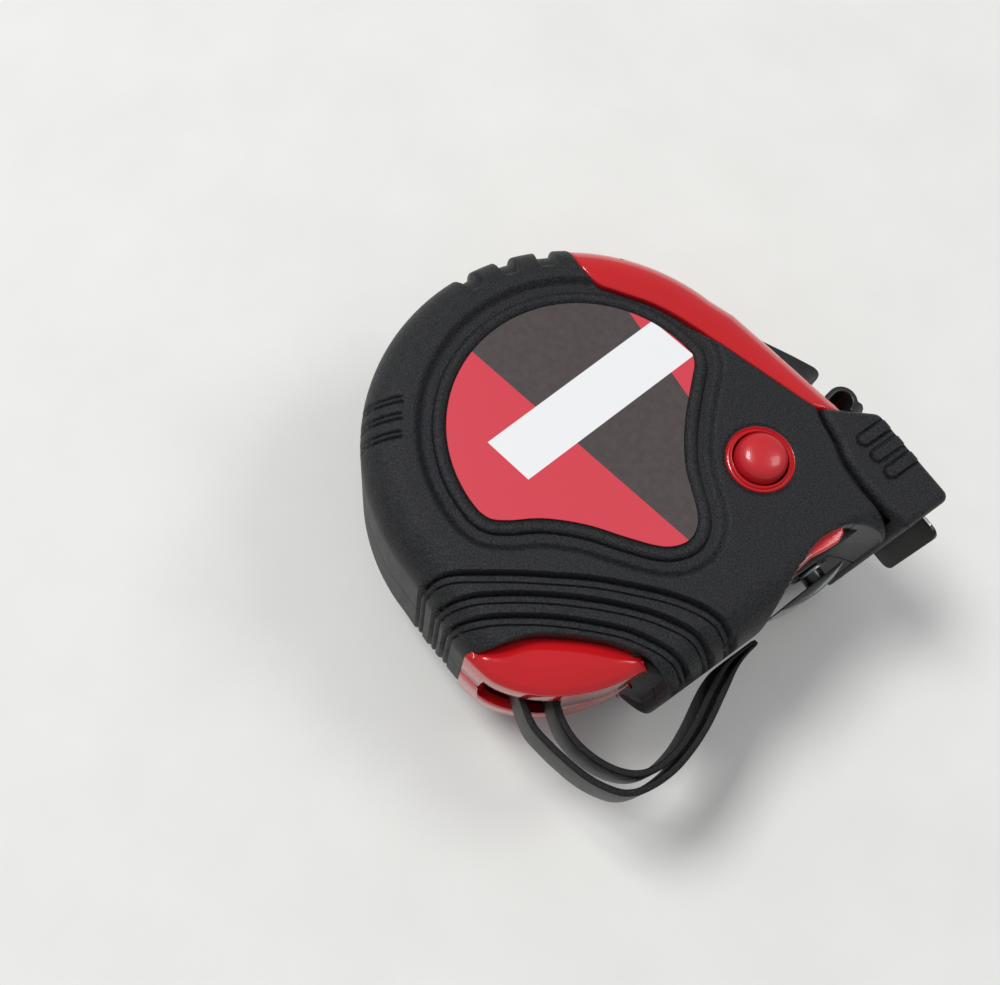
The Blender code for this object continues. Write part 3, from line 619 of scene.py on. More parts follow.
def build_patch(name, material, form, polygon, spans, detail, border, spacing=0.6, fine=(),
                slot="rubber", nodes=(), rings=()):
    """A moulded skin: the face inside the polygon and the rim between anchor pairs.

    border: lines that bound the region, rounded over; fine: (line, closed, offsets) rows of
    extra points; rings: closed holes in the face; detail(xy, turn) -> depth.
    """
    side = form.side
    faces = []
    vertices = []
    rim_top = []
    rim_rows = [(0.0, "wall", t) for t in np.linspace(0, 1, 12)]
    rim_rows += [(SHOULDER * (1 - cos(radians(a))), "turn", a) for a in RIM_TURNS[1:]]
    for start, end in spans:
        rows = [columns(anchor(start, depth), anchor(end, depth), 0.42)
                for depth, _, _ in rim_rows]
        count = len(rows[-1])
        base = len(vertices)
        for r, (params, (depth, kind, value)) in enumerate(zip(rows, rim_rows)):
            if len(params) != count:
                at = np.linspace(0, 1, len(params))
                params = np.interp(np.linspace(0, 1, count), at, params)
            xy = row_points(depth, params)
            out = -INWARD[np.round(params).astype(int) % len(OUTLINE)]
            foot = HALF - form.drop(xy) - SHOULDER
            if kind == "wall":
                z = 0.15 + (foot - 0.15) * value
                turn = np.zeros(len(xy))
            else:
                z = foot + SHOULDER * sin(radians(value))
                turn = np.full(len(xy), radians(value))
            vertices.extend(zip(xy[:, 0], xy[:, 1], z, out[:, 0], out[:, 1], turn))
            if r:
                for c in range(count - 1):
                    a = base + (r - 1) * count + c
                    faces.append((a, a + 1, a + count + 1, a + count))
        rim_top.append([base + (len(rows) - 1) * count + c for c in range(count)])

    loop_points = [np.array([vertices[i][:2] for i in ids]) for ids in rim_top]
    extra = [resample(offset_line(line, o, closed), 0.22, closed)
             for line, closed, offsets in fine for o in offsets]
    flat, triangles = fill_face(polygon(loop_points), spacing, 0.09, extra,
                                [np.array(ring) for ring in rings])
    d, out = form.shoulder(flat)
    turn = np.arccos(np.clip(1 - d / SHOULDER, 0, 1))
    z = HALF - form.drop(flat) - SHOULDER + SHOULDER * np.sin(turn)
    base = len(vertices)
    vertices.extend(zip(flat[:, 0], flat[:, 1], z, out[:, 0], out[:, 1], turn))
    faces.extend(tuple(base + t) for t in triangles)

    v = np.array(vertices)
    xy, z, out, turn = v[:, :2].copy(), v[:, 2], v[:, 3:5], v[:, 5]
    depth = detail(xy, turn)
    for line in border:
        s, _ = distance(xy, line)
        s = np.minimum(np.abs(s), EDGE_R)
        depth = depth + EDGE_R - np.sqrt(np.maximum(EDGE_R ** 2 - (EDGE_R - s) ** 2, 0.0))
    xy -= out * (np.cos(turn) * depth)[:, None]
    z = z - np.sin(turn) * depth
    bm, away = bmesh_of(np.column_stack([xy, MID_Z + side * z]), faces,
                        np.column_stack([out * np.cos(turn)[:, None], side * np.sin(turn)]))
    loose = [x for x in bm.verts if not x.link_faces]
    bmesh.ops.delete(bm, geom=loose, context='VERTS')
    bmesh.ops.recalc_face_normals(bm, faces=bm.faces)
    bm.faces.ensure_lookup_table()
    top = max(bm.faces, key=lambda f: side * f.calc_center_median().z)
    if top.normal.z * side < 0:
        bmesh.ops.reverse_faces(bm, faces=bm.faces)
    rim = [e for e in bm.edges if len(e.link_faces) == 1]
    made = bmesh.ops.extrude_edge_only(bm, edges=rim)["geom"]
    for vert in [g for g in made if isinstance(g, bmesh.types.BMVert)]:
        vert.co -= Vector(vert[away]) * SKIRT * MM
    return settle(add_object(name, mesh_of(name, bm), material, 50), "case", slot, *nodes)


def between(line, start, end):
    """The stretch of a line between two points near it, in order from start to end."""
    p = np.array(line)
    a, b = nearest(p, start), nearest(p, end)
    part = p[min(a, b):max(a, b) + 1]
    if a > b:
        part = part[::-1]
    keep = (np.hypot(*(part - start).T) > 0.12) & (np.hypot(*(part - end).T) > 0.12)
    return part[keep]


def grip_detail(front):
    """Depth of the rubber's details under its smooth form."""
    def detail(xy, turn):
        rim = 1 - smooth((turn - radians(10)) / radians(50))
        depth = np.zeros(len(xy))
        for line in STEPS:
            s, _ = distance(xy, line)
            depth += (0.60 + 0.95 * rim) * bump(s - 0.30, 0.36 + 0.30 * rim)
            depth += (0.40 + 0.50 * rim) * bump(s - 1.75, 0.24 + 0.22 * rim)
        for start, end in TOP_NOTCHES:
            angle = np.degrees(np.arctan2(xy[:, 0], xy[:, 1]))
            r = np.hypot(*xy.T)
            inner = smooth((angle - start) / 0.9) * smooth((end - angle) / 0.9)
            depth += 1.25 * inner * smooth((r - 35.0) / 2.0) * (r > 30)
        for (x0, y0), (x1, y1) in BACK_GROOVES:
            d = np.array([x1 - x0, y1 - y0])
            size = np.hypot(*d)
            d /= size
            rel = xy - [x0, y0]
            along = rel @ d
            reach = smooth((size - along) / 0.8)
            for shift in (0.0, 1.1):
                across = rel @ np.array([-d[1], d[0]]) - shift
                depth += 0.5 * bump(across, 0.38) * reach
        if front:
            s, _ = distance(xy, LABEL, closed=True)
            near = s < 9
            bead = np.where(s < 2.4, 0.10 + 0.6 * ((s - 1.2) / 1.2) ** 2 * (s > 0), VALLEY)
            floor = np.where(s < 0.0, LABEL_DEPTH, bead)
            blend_in = smooth((s + 0.25) / 0.3)
            value = LABEL_DEPTH * (1 - blend_in) + blend_in * np.where(s < 0, 0.75, floor)
            edge = smooth((s - 2.2) / 0.35)
            value = np.where(s > 2.0, value * (1 - edge) + VALLEY * edge, value)
            value *= 1 - smooth((s - 4.0) / 1.9)
            depth += np.where(near, value, 0.0)
            r = np.hypot(xy[:, 0] - BUTTON[0], xy[:, 1] - BUTTON[1])
            depth += 0.35 * (1 - smooth((r - 6.9) / 0.5))
        return depth
    return detail


TOP_NOTCHES = [(-2.0, 3.7), (10.1, 15.9), (22.0, 27.8)]
BACK_GROOVES = [((-40.0, 30.5), (-24.8, 23.2)), ((-41.0, 27.2), (-26.8, 20.4)),
                ((-42.0, 23.8), (-28.8, 17.4))]
VALLEY = 1.3
LABEL_DEPTH = 0.85


def grip_polygon(parts):
    """Closed loop of the rubber's face: round the top, the corner, the base and the strip."""
    over, under, right = parts
    corner = between(CORNER, over[-1], under[0])
    scoop = between(np.array(HOLE), under[-1], right[0])
    nose = between(NOSE[::-1], right[-1], STRIP[-1])
    strip = between(STRIP[::-1], STRIP[-1], over[0])
    return np.vstack([over, corner, under, scoop, right, nose, [STRIP[-1]], strip])


def make_grips():
    hole = arc(BUTTON[0], BUTTON[1], 6.75, 0, 354, 60)
    step_rows = [(line, False, (-0.4, -0.28, -0.1, 0.06, 0.2, 0.32, 0.46, 0.6, 0.8, 1.4, 1.55,
                                1.66, 1.76, 1.86, 1.98, 2.15)) for line in STEPS]
    label_rows = [(LABEL, True, (-0.3, -0.15, 0.0, 0.12, 0.35, 0.7, 1.1, 1.6, 2.0, 2.2, 2.3,
                                 2.4, 2.5, 2.65, 3.2, 3.8, 4.2, 4.6, 5.0, 5.4, 5.75, 6.1))]
    edge_rows = [(line, False, offsets) for line, offsets in
                 ((CORNER, (-0.12, -0.25, -0.4, -0.6)), (STRIP, (0.12, 0.25, 0.4, 0.6)),
                  (NOSE, (0.12, 0.25, 0.4, 0.6)))]
    groove_rows = [(resample([a, b], 0.3), False, (-0.4, -0.2, 0.0, 0.2, 0.4, -1.5, -1.3, -1.1,
                                                   -0.9, -0.7)) for a, b in BACK_GROOVES]
    hole_rows = [(hole, True, (0.15, 0.35, 0.6))]
    borders = [CORNER, STRIP, NOSE, HOLE]
    spans = [("top", "left"), ("base", "scoop_a"), ("scoop_b", "nose")]
    build_patch("grip_front_skin", RUBBER, Form(1), grip_polygon, spans, grip_detail(True),
                borders, fine=step_rows + label_rows + edge_rows + groove_rows + hole_rows,
                nodes=("grip_front",), rings=[hole])
    build_patch("grip_back_skin", RUBBER, Form(-1), grip_polygon, spans, grip_detail(False),
                borders, fine=step_rows + edge_rows + groove_rows, nodes=("grip_back",),
                spacing=0.9)


def strip_polygon(parts):
    rim, = parts
    strip = between(STRIP, rim[-1], STRIP[-1])
    cap = between(TOP_OF_CAP, STRIP[-1], rim[0])
    return np.vstack([rim, strip, [STRIP[-1]], cap])


def strip_detail(xy, turn):
    """The red strip lies a little under the rubber."""
    return np.full(len(xy), 0.25)


def make_strips():
    rows = [(STRIP, False, (-0.12, -0.25, -0.4, -0.6)), (TOP_OF_CAP, False, (-0.12, -0.25, -0.4))]
    for name, side, node in (("strip_front", 1, "case_front"), ("strip_back", -1, "case_back")):
        build_patch(name, RED, Form(side, stepped=False), strip_polygon, [("front", "top")],
                    strip_detail, [STRIP, TOP_OF_CAP], fine=rows,
                    slot="red_plastic", nodes=(node,))


# ---------------------------------------------------------------- general solids

def grid_faces(rings, count):
    """Quads between rows of points, each row closed on itself."""
    faces = []
    for r in range(rings - 1):
        for k in range(count):
            j = (k + 1) % count
            faces.append((r * count + k, r * count + j, (r + 1) * count + j, (r + 1) * count + k))
    return faces


def rounded_plate(name, outline, levels, material, body, slot, nodes=(), top=None, spacing=0.8,
                  bottom=True, angle=45, along_x=False):
    """A solid from an outline: rings of (inset, z), then a filled top with z = top(xy).

    Along X, the outline holds (z, y) and the levels are positions in x.
    """
    outline = np.array(outline, float)
    count = len(outline)
    inward = normals_of(outline)
    points = []
    for inset_by, z in levels:
        ring = outline + inward * inset_by
        height = z(ring) if callable(z) else np.full(count, float(z))
        points.append(np.column_stack([ring, height]))
    faces = grid_faces(len(levels), count)
    flat, triangles = fill_face(points[-1][:, :2], spacing, spacing * 0.35)
    height = top(flat) if top else np.full(len(flat), points[-1][:, 2].mean())
    base = sum(len(p) for p in points)
    points.append(np.column_stack([flat, height]))
    faces += [tuple(base + t) for t in triangles]
    points = np.vstack(points)
    if along_x:
        points = points[:, [2, 1, 0]]
    bm, _ = bmesh_of(points, faces)
    if bottom:
        open_edges = [e for e in bm.edges if len(e.link_faces) == 1]
        bmesh.ops.contextual_create(bm, geom=open_edges)
        bmesh.ops.triangulate(bm, faces=[f for f in bm.faces if len(f.verts) > 4])
    bmesh.ops.recalc_face_normals(bm, faces=bm.faces)
    return settle(add_object(name, mesh_of(name, bm), material, angle), body, slot, *nodes)


def turned(name, centre, profile, material, body, slot, nodes=(), steps=72, base_z=0.0,
           along_y=False):
    """A profile of (radius, z) turned about a Z axis through the centre, or about a Y axis."""
    points, faces, rings = [], [], []
    for r, z in profile:
        first = len(points)
        if r < 1e-6:
            points.append((centre[0], centre[1], base_z + z))
            rings.append([first] * steps)
            continue
        for k in range(steps):
            a = 2 * pi * k / steps
            points.append((centre[0] + r * cos(a), centre[1] + r * sin(a), base_z + z))
        rings.append([first + k for k in range(steps)])
    for low, high in zip(rings, rings[1:]):
        for k in range(steps):
            j = (k + 1) % steps
            f = []
            for i in (low[k], low[j], high[j], high[k]):
                if i not in f:
                    f.append(i)
            if len(f) > 2:
                faces.append(tuple(f))
    if along_y:
        points = [(x, z, y) for x, y, z in points]
    return settle(mesh_object(name, points, faces, material), body, slot, *nodes)


def slab(name, outline, low, high, bevel, material, body, slot, nodes=(), spacing=0.4, angle=35,
         along_x=False):
    """A flat solid with eased edges: the outline between two heights."""
    loop = resample(outline, spacing, closed=True)
    area = (loop[:, 0] * np.roll(loop[:, 1], -1) - loop[:, 1] * np.roll(loop[:, 0], -1)).sum()
    if area < 0:
        loop = loop[::-1]
    arcs = [(bevel * (1 - sin(radians(a))), bevel * (1 - cos(radians(a)))) for a in (0, 30, 60, 90)]
    levels = [(i, low + z) for i, z in arcs] + [(i, high - z) for i, z in arcs[::-1]]
    return rounded_plate(name, loop, levels, material, body, slot, nodes, spacing=4.0, angle=angle,
                         along_x=along_x)


# ---------------------------------------------------------------- corner, label, button

CORNER_RIM = [(-41.6, -21.0), (-41.2, -23.5), (-40.3, -27.0), (-38.6, -30.0), (-36.0, -33.0),
              (-33.2, -35.4), (-29.8, -37.5), (-24.4, -39.8), (-19.2, -41.0), (-15.6, -41.6),
              (-14.8, -42.6)]


def corner_loop():
    """Counter-clockwise: along the rim, then back under the edge of the rubber."""
    rim = resample(spline(CORNER_RIM, 8), 0.25)
    hidden = offset_line(CORNER, -1.2)
    start, end = nearest(hidden, (-17.0, -39.6)), nearest(hidden, (-40.4, -20.6))
    back = hidden[min(start, end):max(start, end) + 1][::-1]
    return resample(np.vstack([rim, back]), 0.3, closed=True)


def make_corners():
    loop = corner_loop()

    def window(xy):
        """Height of the strap slot's edge over the middle plane, along the rim."""
        along = (xy - [-39.6, -27.6]) @ np.array([0.66, -0.751])
        open_part = smooth((along + 2.5) / 0.6) * smooth((13.4 - along) / 0.6)
        outer = (xy @ np.array([-0.751, -0.66])) > 44.0
        return 0.15 + 6.6 * open_part * outer

    for name, side in (("corner_front", 1), ("corner_back", -1)):
        def height(value):
            return MID_Z + side * value

        edge = 12.6
        levels = [(2.0, lambda ring: height(window(ring + normals_of(loop) * -2.0))),
                  (0.25, lambda ring: height(window(ring))),
                  (0.05, lambda ring: height(window(ring) + 0.25)),
                  (0.0, lambda ring: height(window(ring) * 0.5 + 5.0)), (0.0, height(edge - 0.5)),
                  (0.06, height(edge - 0.2)), (0.25, height(edge)), (1.05, height(edge + 0.75)),
                  (1.3, height(edge + 0.9)), (1.6, height(edge + 1.0))]

        def dome(xy):
            d, _ = distance(xy, loop, closed=True)
            d = np.abs(d)
            return height(edge + 1.0 + 1.6 * (1 - np.exp(-(d - 1.6) / 3.6)))

        corner = rounded_plate(name, loop, levels, RED, "case", "red_plastic", top=dome,
                               spacing=0.7, bottom=False)
        with editing(corner.data) as bm:
            bmesh.ops.bisect_plane(bm, geom=bm.verts[:] + bm.edges[:] + bm.faces[:], dist=1e-7,
                                   plane_co=to_frame(np.array([[-16.2, -41.4, MID_Z]]))[0],
                                   plane_no=(0.94, -0.34, 0), clear_outer=True)
    # the corner's liners are near-black: painted shade
    liner = [(-21.0, -38.4), (-14.0, -39.6), (-10.5, -43.8), (-10.5, -45.2), (-12.6, -45.2),
             (-16.0, -41.4), (-21.0, -39.6)]
    slab("corner_liner", liner, MID_Z - 11.6, MID_Z + 11.6, 0.2, PAINTED_SHADE_BLACK, "case", "black_plastic")
    back = [(-16.8, -36.8), (-13.0, -37.4), (-9.6, -41.4), (-9.6, -42.8), (-11.6, -42.8),
            (-15.0, -39.0), (-16.8, -38.4)]
    slab("corner_liner_back", back, MID_Z - 14.4, MID_Z + 14.4, 0.2, PAINTED_SHADE_BLACK, "case", "black_plastic")


def label_material():
    """Printed sticker: a coral and a dark field, and a plain white band."""
    n = Nodes("label_print", (0.07, 0.05, 0.05), 0.32, Coat_Weight=0.15, Coat_Roughness=0.2)
    split = n.node("SeparateXYZ")
    n.link(n.coords(), split.inputs["Vector"])
    x, y = split.outputs["X"], split.outputs["Y"]

    def side_of(a, b):
        """1 on the left of the line from a to b (points from the reel axis), soft edge."""
        ax, ay = (a[0] + REEL_X) * MM, (a[1] + REEL_Y) * MM
        dx, dy = b[0] - a[0], b[1] - a[1]
        size = hypot(dx, dy)
        nx, ny = -dy / size, dx / size
        value = n.math('ADD', n.math('MULTIPLY', x, nx), n.math('MULTIPLY', y, ny))
        value = n.math('SUBTRACT', value, nx * ax + ny * ay)
        made = n.node("Math", operation='MULTIPLY_ADD', use_clamp=True)
        n.link(value, made.inputs[0])
        made.inputs[1].default_value = 12000.0
        made.inputs[2].default_value = 0.5
        return made.outputs["Value"]

    def both(*values):
        out = values[0]
        for v in values[1:]:
            out = n.math('MULTIPLY', out, v)
        return out

    coral = (0.66, 0.05, 0.072)
    dark = n.ramp(n.noise(700.0, 2.0), (0.3, (0.062, 0.047, 0.047)), (0.7, (0.078, 0.060, 0.060)))
    colour = n.mix(side_of((2.7, -27.5), (-8.6, 25.3)), dark, coral)
    colour = n.mix(side_of((20.7, -4.8), (22.2, 15.8)), coral, colour)
    band = both(side_of((27.1, 1.2), (24.9, 11.5)), side_of((24.9, 11.5), (-16.8, 8.2)),
                side_of((-16.8, 8.2), (-14.8, -1.9)), side_of((-14.8, -1.9), (27.1, 1.2)))
    colour = n.mix(band, colour, (0.86, 0.86, 0.86))
    n.paint(colour)
    n.bump(n.noise(2500.0, 2.0), 0.08, 0.00003)
    return n.material


def make_label():
    loop = LABEL + normals_of(LABEL) * 0.22
    z = FRONT_Z - 0.45
    rounded_plate("label_art", loop, [(0.0, z - 0.3), (0.0, z - 0.05), (0.06, z)],
                  label_material(), "case", "label", ("label_front",), spacing=3.0, angle=20)


def make_button():
    dome = [(0.0, 3.2), (1.2, 3.16), (2.3, 3.02), (3.2, 2.78), (3.9, 2.42), (4.4, 1.95), (4.75, 1.4),
            (4.95, 0.8), (5.05, 0.1), (5.1, -3.0)]
    turned("button_dome", BUTTON, dome, BUTTON_RED, "side_button", "red_plastic",
           ("side_button",), base_z=FRONT_Z)
    ring = [(5.42, -2.4), (5.42, -0.1), (5.48, 0.12), (5.62, 0.22), (5.78, 0.14), (5.9, -0.12),
            (6.05, -0.45), (6.22, -0.52), (6.36, -0.36), (6.48, -0.14), (6.6, -0.08), (6.68, -0.2),
            (6.7, -0.6), (6.7, -2.4)]
    turned("button_ring", BUTTON, ring, BUTTON_RED, "case", "red_plastic", ("button_bezel",),
           base_z=FRONT_Z)


# ---------------------------------------------------------------- core, nose cap

def core_detail(xy, turn):
    """The core lies one thickness of rubber under the case's form."""
    return np.full(len(xy), 2.1)


def make_core():
    """The plastic under the rubber, seen only at the bottom of its gaps."""
    hole = arc(BUTTON[0], BUTTON[1], 5.4, 0, 350, 36)
    spans = [("scoop_b", "left"), ("base", "scoop_a")]
    for name, side in (("core_front", 1), ("core_back", -1)):
        build_patch(name, BLACK, Form(side), core_loop, spans, core_detail, [], spacing=2.0,
                    slot="black_plastic", rings=[hole] if side > 0 else [])


def core_loop(parts):
    right_over, under = parts
    corner = between(CORNER, right_over[-1], under[0])
    scoop = between(np.array(HOLE), under[-1], right_over[0])
    return np.vstack([right_over, corner, under, scoop])


CAP = [(38.6, -48.8), (50.2, -48.8), (50.2, -28.2), (40.9, -20.6), (39.9, -23.5), (39.2, -28.0),
       (37.8, -32.0), (37.3, -38.0), (37.6, -43.0)]


def make_nose_cap():
    points = round_corners(CAP, {0: 1.2, 1: 1.6, 2: 2.2, 3: 0.8})
    outline = resample(points, 0.25, closed=True)
    r = 1.8
    turns = [0, 12, 24, 36, 48]
    levels = [(r * (1 - cos(radians(a))), FRONT_Z - r + r * sin(radians(a))) for a in turns]
    walls = [(0.0, z) for z in np.linspace(MID_Z, FRONT_Z - r, 14)[:-1]]

    def pill(xy):
        """Height of the three finger ribs over the smooth cap, each in a fine groove."""
        total = np.zeros(len(xy))
        for yc in (-30.8, -34.7, -38.6):
            dx = np.maximum(43.4 - xy[:, 0], 0.0)
            out = np.hypot(dx, xy[:, 1] - yc) - 1.15
            total += 0.42 * smooth((0.1 - out) / 0.35) - 0.34 * bump(out - 0.2, 0.3)
        return total

    def top(xy):
        s, _ = distance(xy, outline, closed=True)
        d = np.abs(s)
        turn = np.arccos(np.clip(1 - d / r, 0, 1))
        return FRONT_Z - r + r * np.sin(turn) + pill(xy)

    front = rounded_plate("nose_cap_front", outline, walls + levels, CAP_RUBBER, "case", "rubber",
                          ("nose_cap",), top=top, spacing=0.22, bottom=False)
    mirrored = [(i, 2 * MID_Z - z) for i, z in walls + levels]
    back = rounded_plate("nose_cap_back", outline, mirrored, CAP_RUBBER, "case", "rubber",
                         top=lambda xy: 2 * MID_Z - top(xy), spacing=0.6, bottom=False)
    with editing(front.data) as bm:
        bm.from_mesh(back.data)
        bmesh.ops.remove_doubles(bm, verts=bm.verts, dist=1e-6)
        bmesh.ops.recalc_face_normals(bm, faces=bm.faces)
    front.data.shade_smooth()
    front.data.set_sharp_from_angle(angle=radians(45))
    bpy.data.objects.remove(back)
    front.name = "nose_cap_rubber"
    for name, low, high in (
            ("cut_mouth", (34, MOUTH_LOW, MID_Z - CHANNEL), (60, MOUTH_HIGH, MID_Z + CHANNEL)),
            ("cut_hook", (47.4, -60, MID_Z - CHANNEL), (60, MOUTH_HIGH, MID_Z + CHANNEL)),
            ("cut_inside", (30, -45.8, MID_Z - 18.6), (45.6, -26.0, MID_Z + 18.6))):
        cutter = box(name, low, high)
        mod = front.modifiers.new(name, 'BOOLEAN')
        mod.operation = 'DIFFERENCE'
        mod.object = cutter
    apply_modifiers(front, 45)


def box(name, low, high):
    """A box between two corners, for cutting."""
    bm = bmesh.new()
    bmesh.ops.create_cube(bm, size=1.0)
    a, b = Vector(to_frame(low)[0]), Vector(to_frame(high)[0])
    bmesh.ops.transform(bm, verts=bm.verts,
                        matrix=Matrix.Translation((a + b) / 2) @ Matrix.Diagonal((*(b - a), 1.0)))
    return add_object(name, mesh_of(name, bm))


def apply_modifiers(thing, angle):
    """Bake the modifiers into the mesh, and drop the cutters that they used."""
    cutters = [m.object for m in thing.modifiers if m.type == 'BOOLEAN']
    bpy.context.view_layer.update()
    graph = bpy.context.evaluated_depsgraph_get()
    mesh = bpy.data.meshes.new_from_object(thing.evaluated_get(graph))
    thing.modifiers.clear()
    thing.data = mesh
    mesh.shade_smooth()
    mesh.set_sharp_from_angle(angle=radians(angle))
    for cutter in cutters:
        bpy.data.objects.remove(cutter)


# ---------------------------------------------------------------- strap, hook, clip, brake

STRAP_PIN = (-32.5, -29.0)
STRAP_OUTER = [(-36.3, -32.6), (-37.4, -37.4), (-36.9, -42.0), (-36.0, -46.2), (-34.9, -50.0),
               (-33.3, -53.4), (-30.8, -56.6), (-27.2, -58.2), (-21.6, -58.6), (-16.0, -57.6),
               (-10.4, -55.7), (-4.6, -52.9), (0.4, -50.6), (4.0, -49.6), (6.6, -49.25)]
STRAP_INNER = [(6.6, -48.75), (3.6, -48.75), (0.2, -48.95), (-2.6, -49.75), (-6.0, -51.2),
               (-11.2, -53.8), (-16.4, -55.8), (-21.4, -56.6), (-25.6, -55.9), (-28.8, -53.5),
               (-31.2, -49.6), (-32.6, -44.6), (-32.4, -39.8), (-30.6, -34.4)]
STRAP_TURN = [(7.1, -49.0)]


def make_strap():
    """The folded rubber band: a rounded rectangle along its path, thinner at the fold."""
    loop = arc(*STRAP_PIN, 2.6, -15, 185, 5)
    path = resample(spline(STRAP_OUTER, 6) + STRAP_TURN + spline(STRAP_INNER, 6) + loop, 0.5,
                    closed=True)
    end = smooth((path[:, 0] + 4.5) / 8.0)
    half_w, r = 5.95, 0.3
    points = []
    for p, n, e in zip(path, normals_of(path), end):
        half_t = 0.66 - 0.28 * e
        for cx, cz, start in ((half_t - r, half_w - r, 0), (-half_t + r, half_w - r, 90),
                              (-half_t + r, -half_w + r, 180), (half_t - r, -half_w + r, 270)):
            for a in (0, 30, 60, 90):
                o = cx + r * cos(radians(start + a))
                points.append((*(p + n * o), MID_Z + cz + r * sin(radians(start + a))))
    count = len(points) // len(path)
    faces = grid_faces(len(path), count)
    last = (len(path) - 1) * count
    faces += [(last + k, last + (k + 1) % count, (k + 1) % count, k) for k in range(count)]
    strap = mesh_object("strap_band", points, faces, STRAP_RUBBER, 50)
    settle(strap, "strap", "rubber", "wrist_strap")


def refine(node, material, width):
    """Keep a CAD node, with its own material and its edges eased."""
    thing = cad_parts[node]
    thing.data.materials.clear()
    thing.data.materials.append(material)
    weld = thing.modifiers.new("weld", 'WELD')
    weld.merge_threshold = 1e-6
    if width:
        bevel = thing.modifiers.new("ease", 'BEVEL')
        bevel.width = width * MM
        bevel.segments = 3
        bevel.limit_method = 'ANGLE'
        bevel.angle_limit = radians(28)
    thing.data.shade_smooth()
    thing.data.set_sharp_from_angle(angle=radians(38))


def blade_material():
    """Yellow enamelled steel with black scale marks along its edges and a clear coat."""
    n = Nodes("blade_enamel", (0.80, 0.56, 0.04), 0.3, Coat_Weight=0.4, Coat_Roughness=0.15)
    enamel = n.ramp(n.noise(200.0), (0.3, (0.76, 0.52, 0.035)), (0.7, (0.83, 0.60, 0.05)))
    split = n.node("SeparateXYZ")
    n.link(n.coords(), split.inputs["Vector"])
    across = n.math('ABSOLUTE', n.math('SUBTRACT', split.outputs["Z"], MID_Z * MM))
    marks = None
    for pitch, width, length in ((1.0, 0.16, 2.2), (5.0, 0.18, 3.6), (10.0, 0.28, 6.0)):
        place = n.math('FRACT', n.math('MULTIPLY', split.outputs["X"], 1 / (pitch * MM)))
        on = n.math('MULTIPLY', n.math('LESS_THAN', place, width / pitch),
                    n.math('GREATER_THAN', across, (12.5 - length) * MM))
        marks = on if marks is None else n.math('MAXIMUM', marks, on)
    n.paint(n.mix(marks, enamel, (0.01, 0.01, 0.01)))
    n.bump(n.noise(1500.0), 0.06, 0.00002)
    return n.material


def slope_point(s, h):
    """Plan position of a point s along the lock's slope and h out from it."""
    dx, dy = SLOPE_DIR
    return SLOPE[0] + s * dx - h * dy, SLOPE[1] + s * dy + h * dx


def make_lock():
    """The sliding thumb piece: a wedge, then a curled finger rest."""
    arch_s, arch_h = 27.1, 4.6
    pad = [(0.8, 0.1), (0.8, 0.6), (5.0, 2.0), (9.0, 3.3), (13.0, 4.6), (17.0, 5.75), (18.4, 6.1),
           (19.4, 6.0), (20.1, 5.5), (20.4, 4.6), (20.2, 2.2), (19.8, 1.5)]
    over = arc(arch_s, arch_h, 3.2, 180, 44, 18)
    leg = [(30.4, 7.0), (31.2, 6.4), (31.6, 5.4), (31.6, 4.3), (30.4, 4.0), (29.3, 4.1)]
    under = arc(arch_s, arch_h, 2.0, 4, 180, 23)
    profile = pad + [(23.9, 1.5)] + over + leg + under + [(25.1, 1.5), (26.3, 1.4), (26.3, 0.1)]
    slab("lock_thumb", [slope_point(s, h) for s, h in profile], MID_Z - 11, MID_Z + 11, 0.35, BLACK,
         "lock", "black_plastic", ("lock_slider",), spacing=0.35)


def recess_strip(name, keep, section, material):
    """A wall along part of the recess's rim, on both sides of the case.

    section: (offset outwards, level, rise), with level 0 at the parting plane and 1 at the rim.
    """
    path = resample(HOLE, 0.4)
    normal = normals_of(path)
    if normal[len(path) // 2][1] < 0:
        normal = -normal
    use = keep(path) & (path[:, 1] > BASE_Y - 0.1)
    path, normal = path[use], normal[use]
    depth, _ = Form(1).shoulder(path)
    turn = np.arcsin(np.clip(1 - depth / SHOULDER, 0, 1))
    rim = HALF - SHOULDER * (1 - np.cos(turn)) - 0.5
    for side, half in ((1, "front"), (-1, "back")):
        points = []
        for k in range(len(path)):
            for offset, level, rise in section:
                x, y = path[k] + normal[k] * offset
                points.append((x, y, MID_Z + side * (level * rim[k] + rise)))
        faces = grid_faces(len(path), len(section))
        settle(mesh_object(name + "_" + half, points, faces, material), "case", "black_plastic")


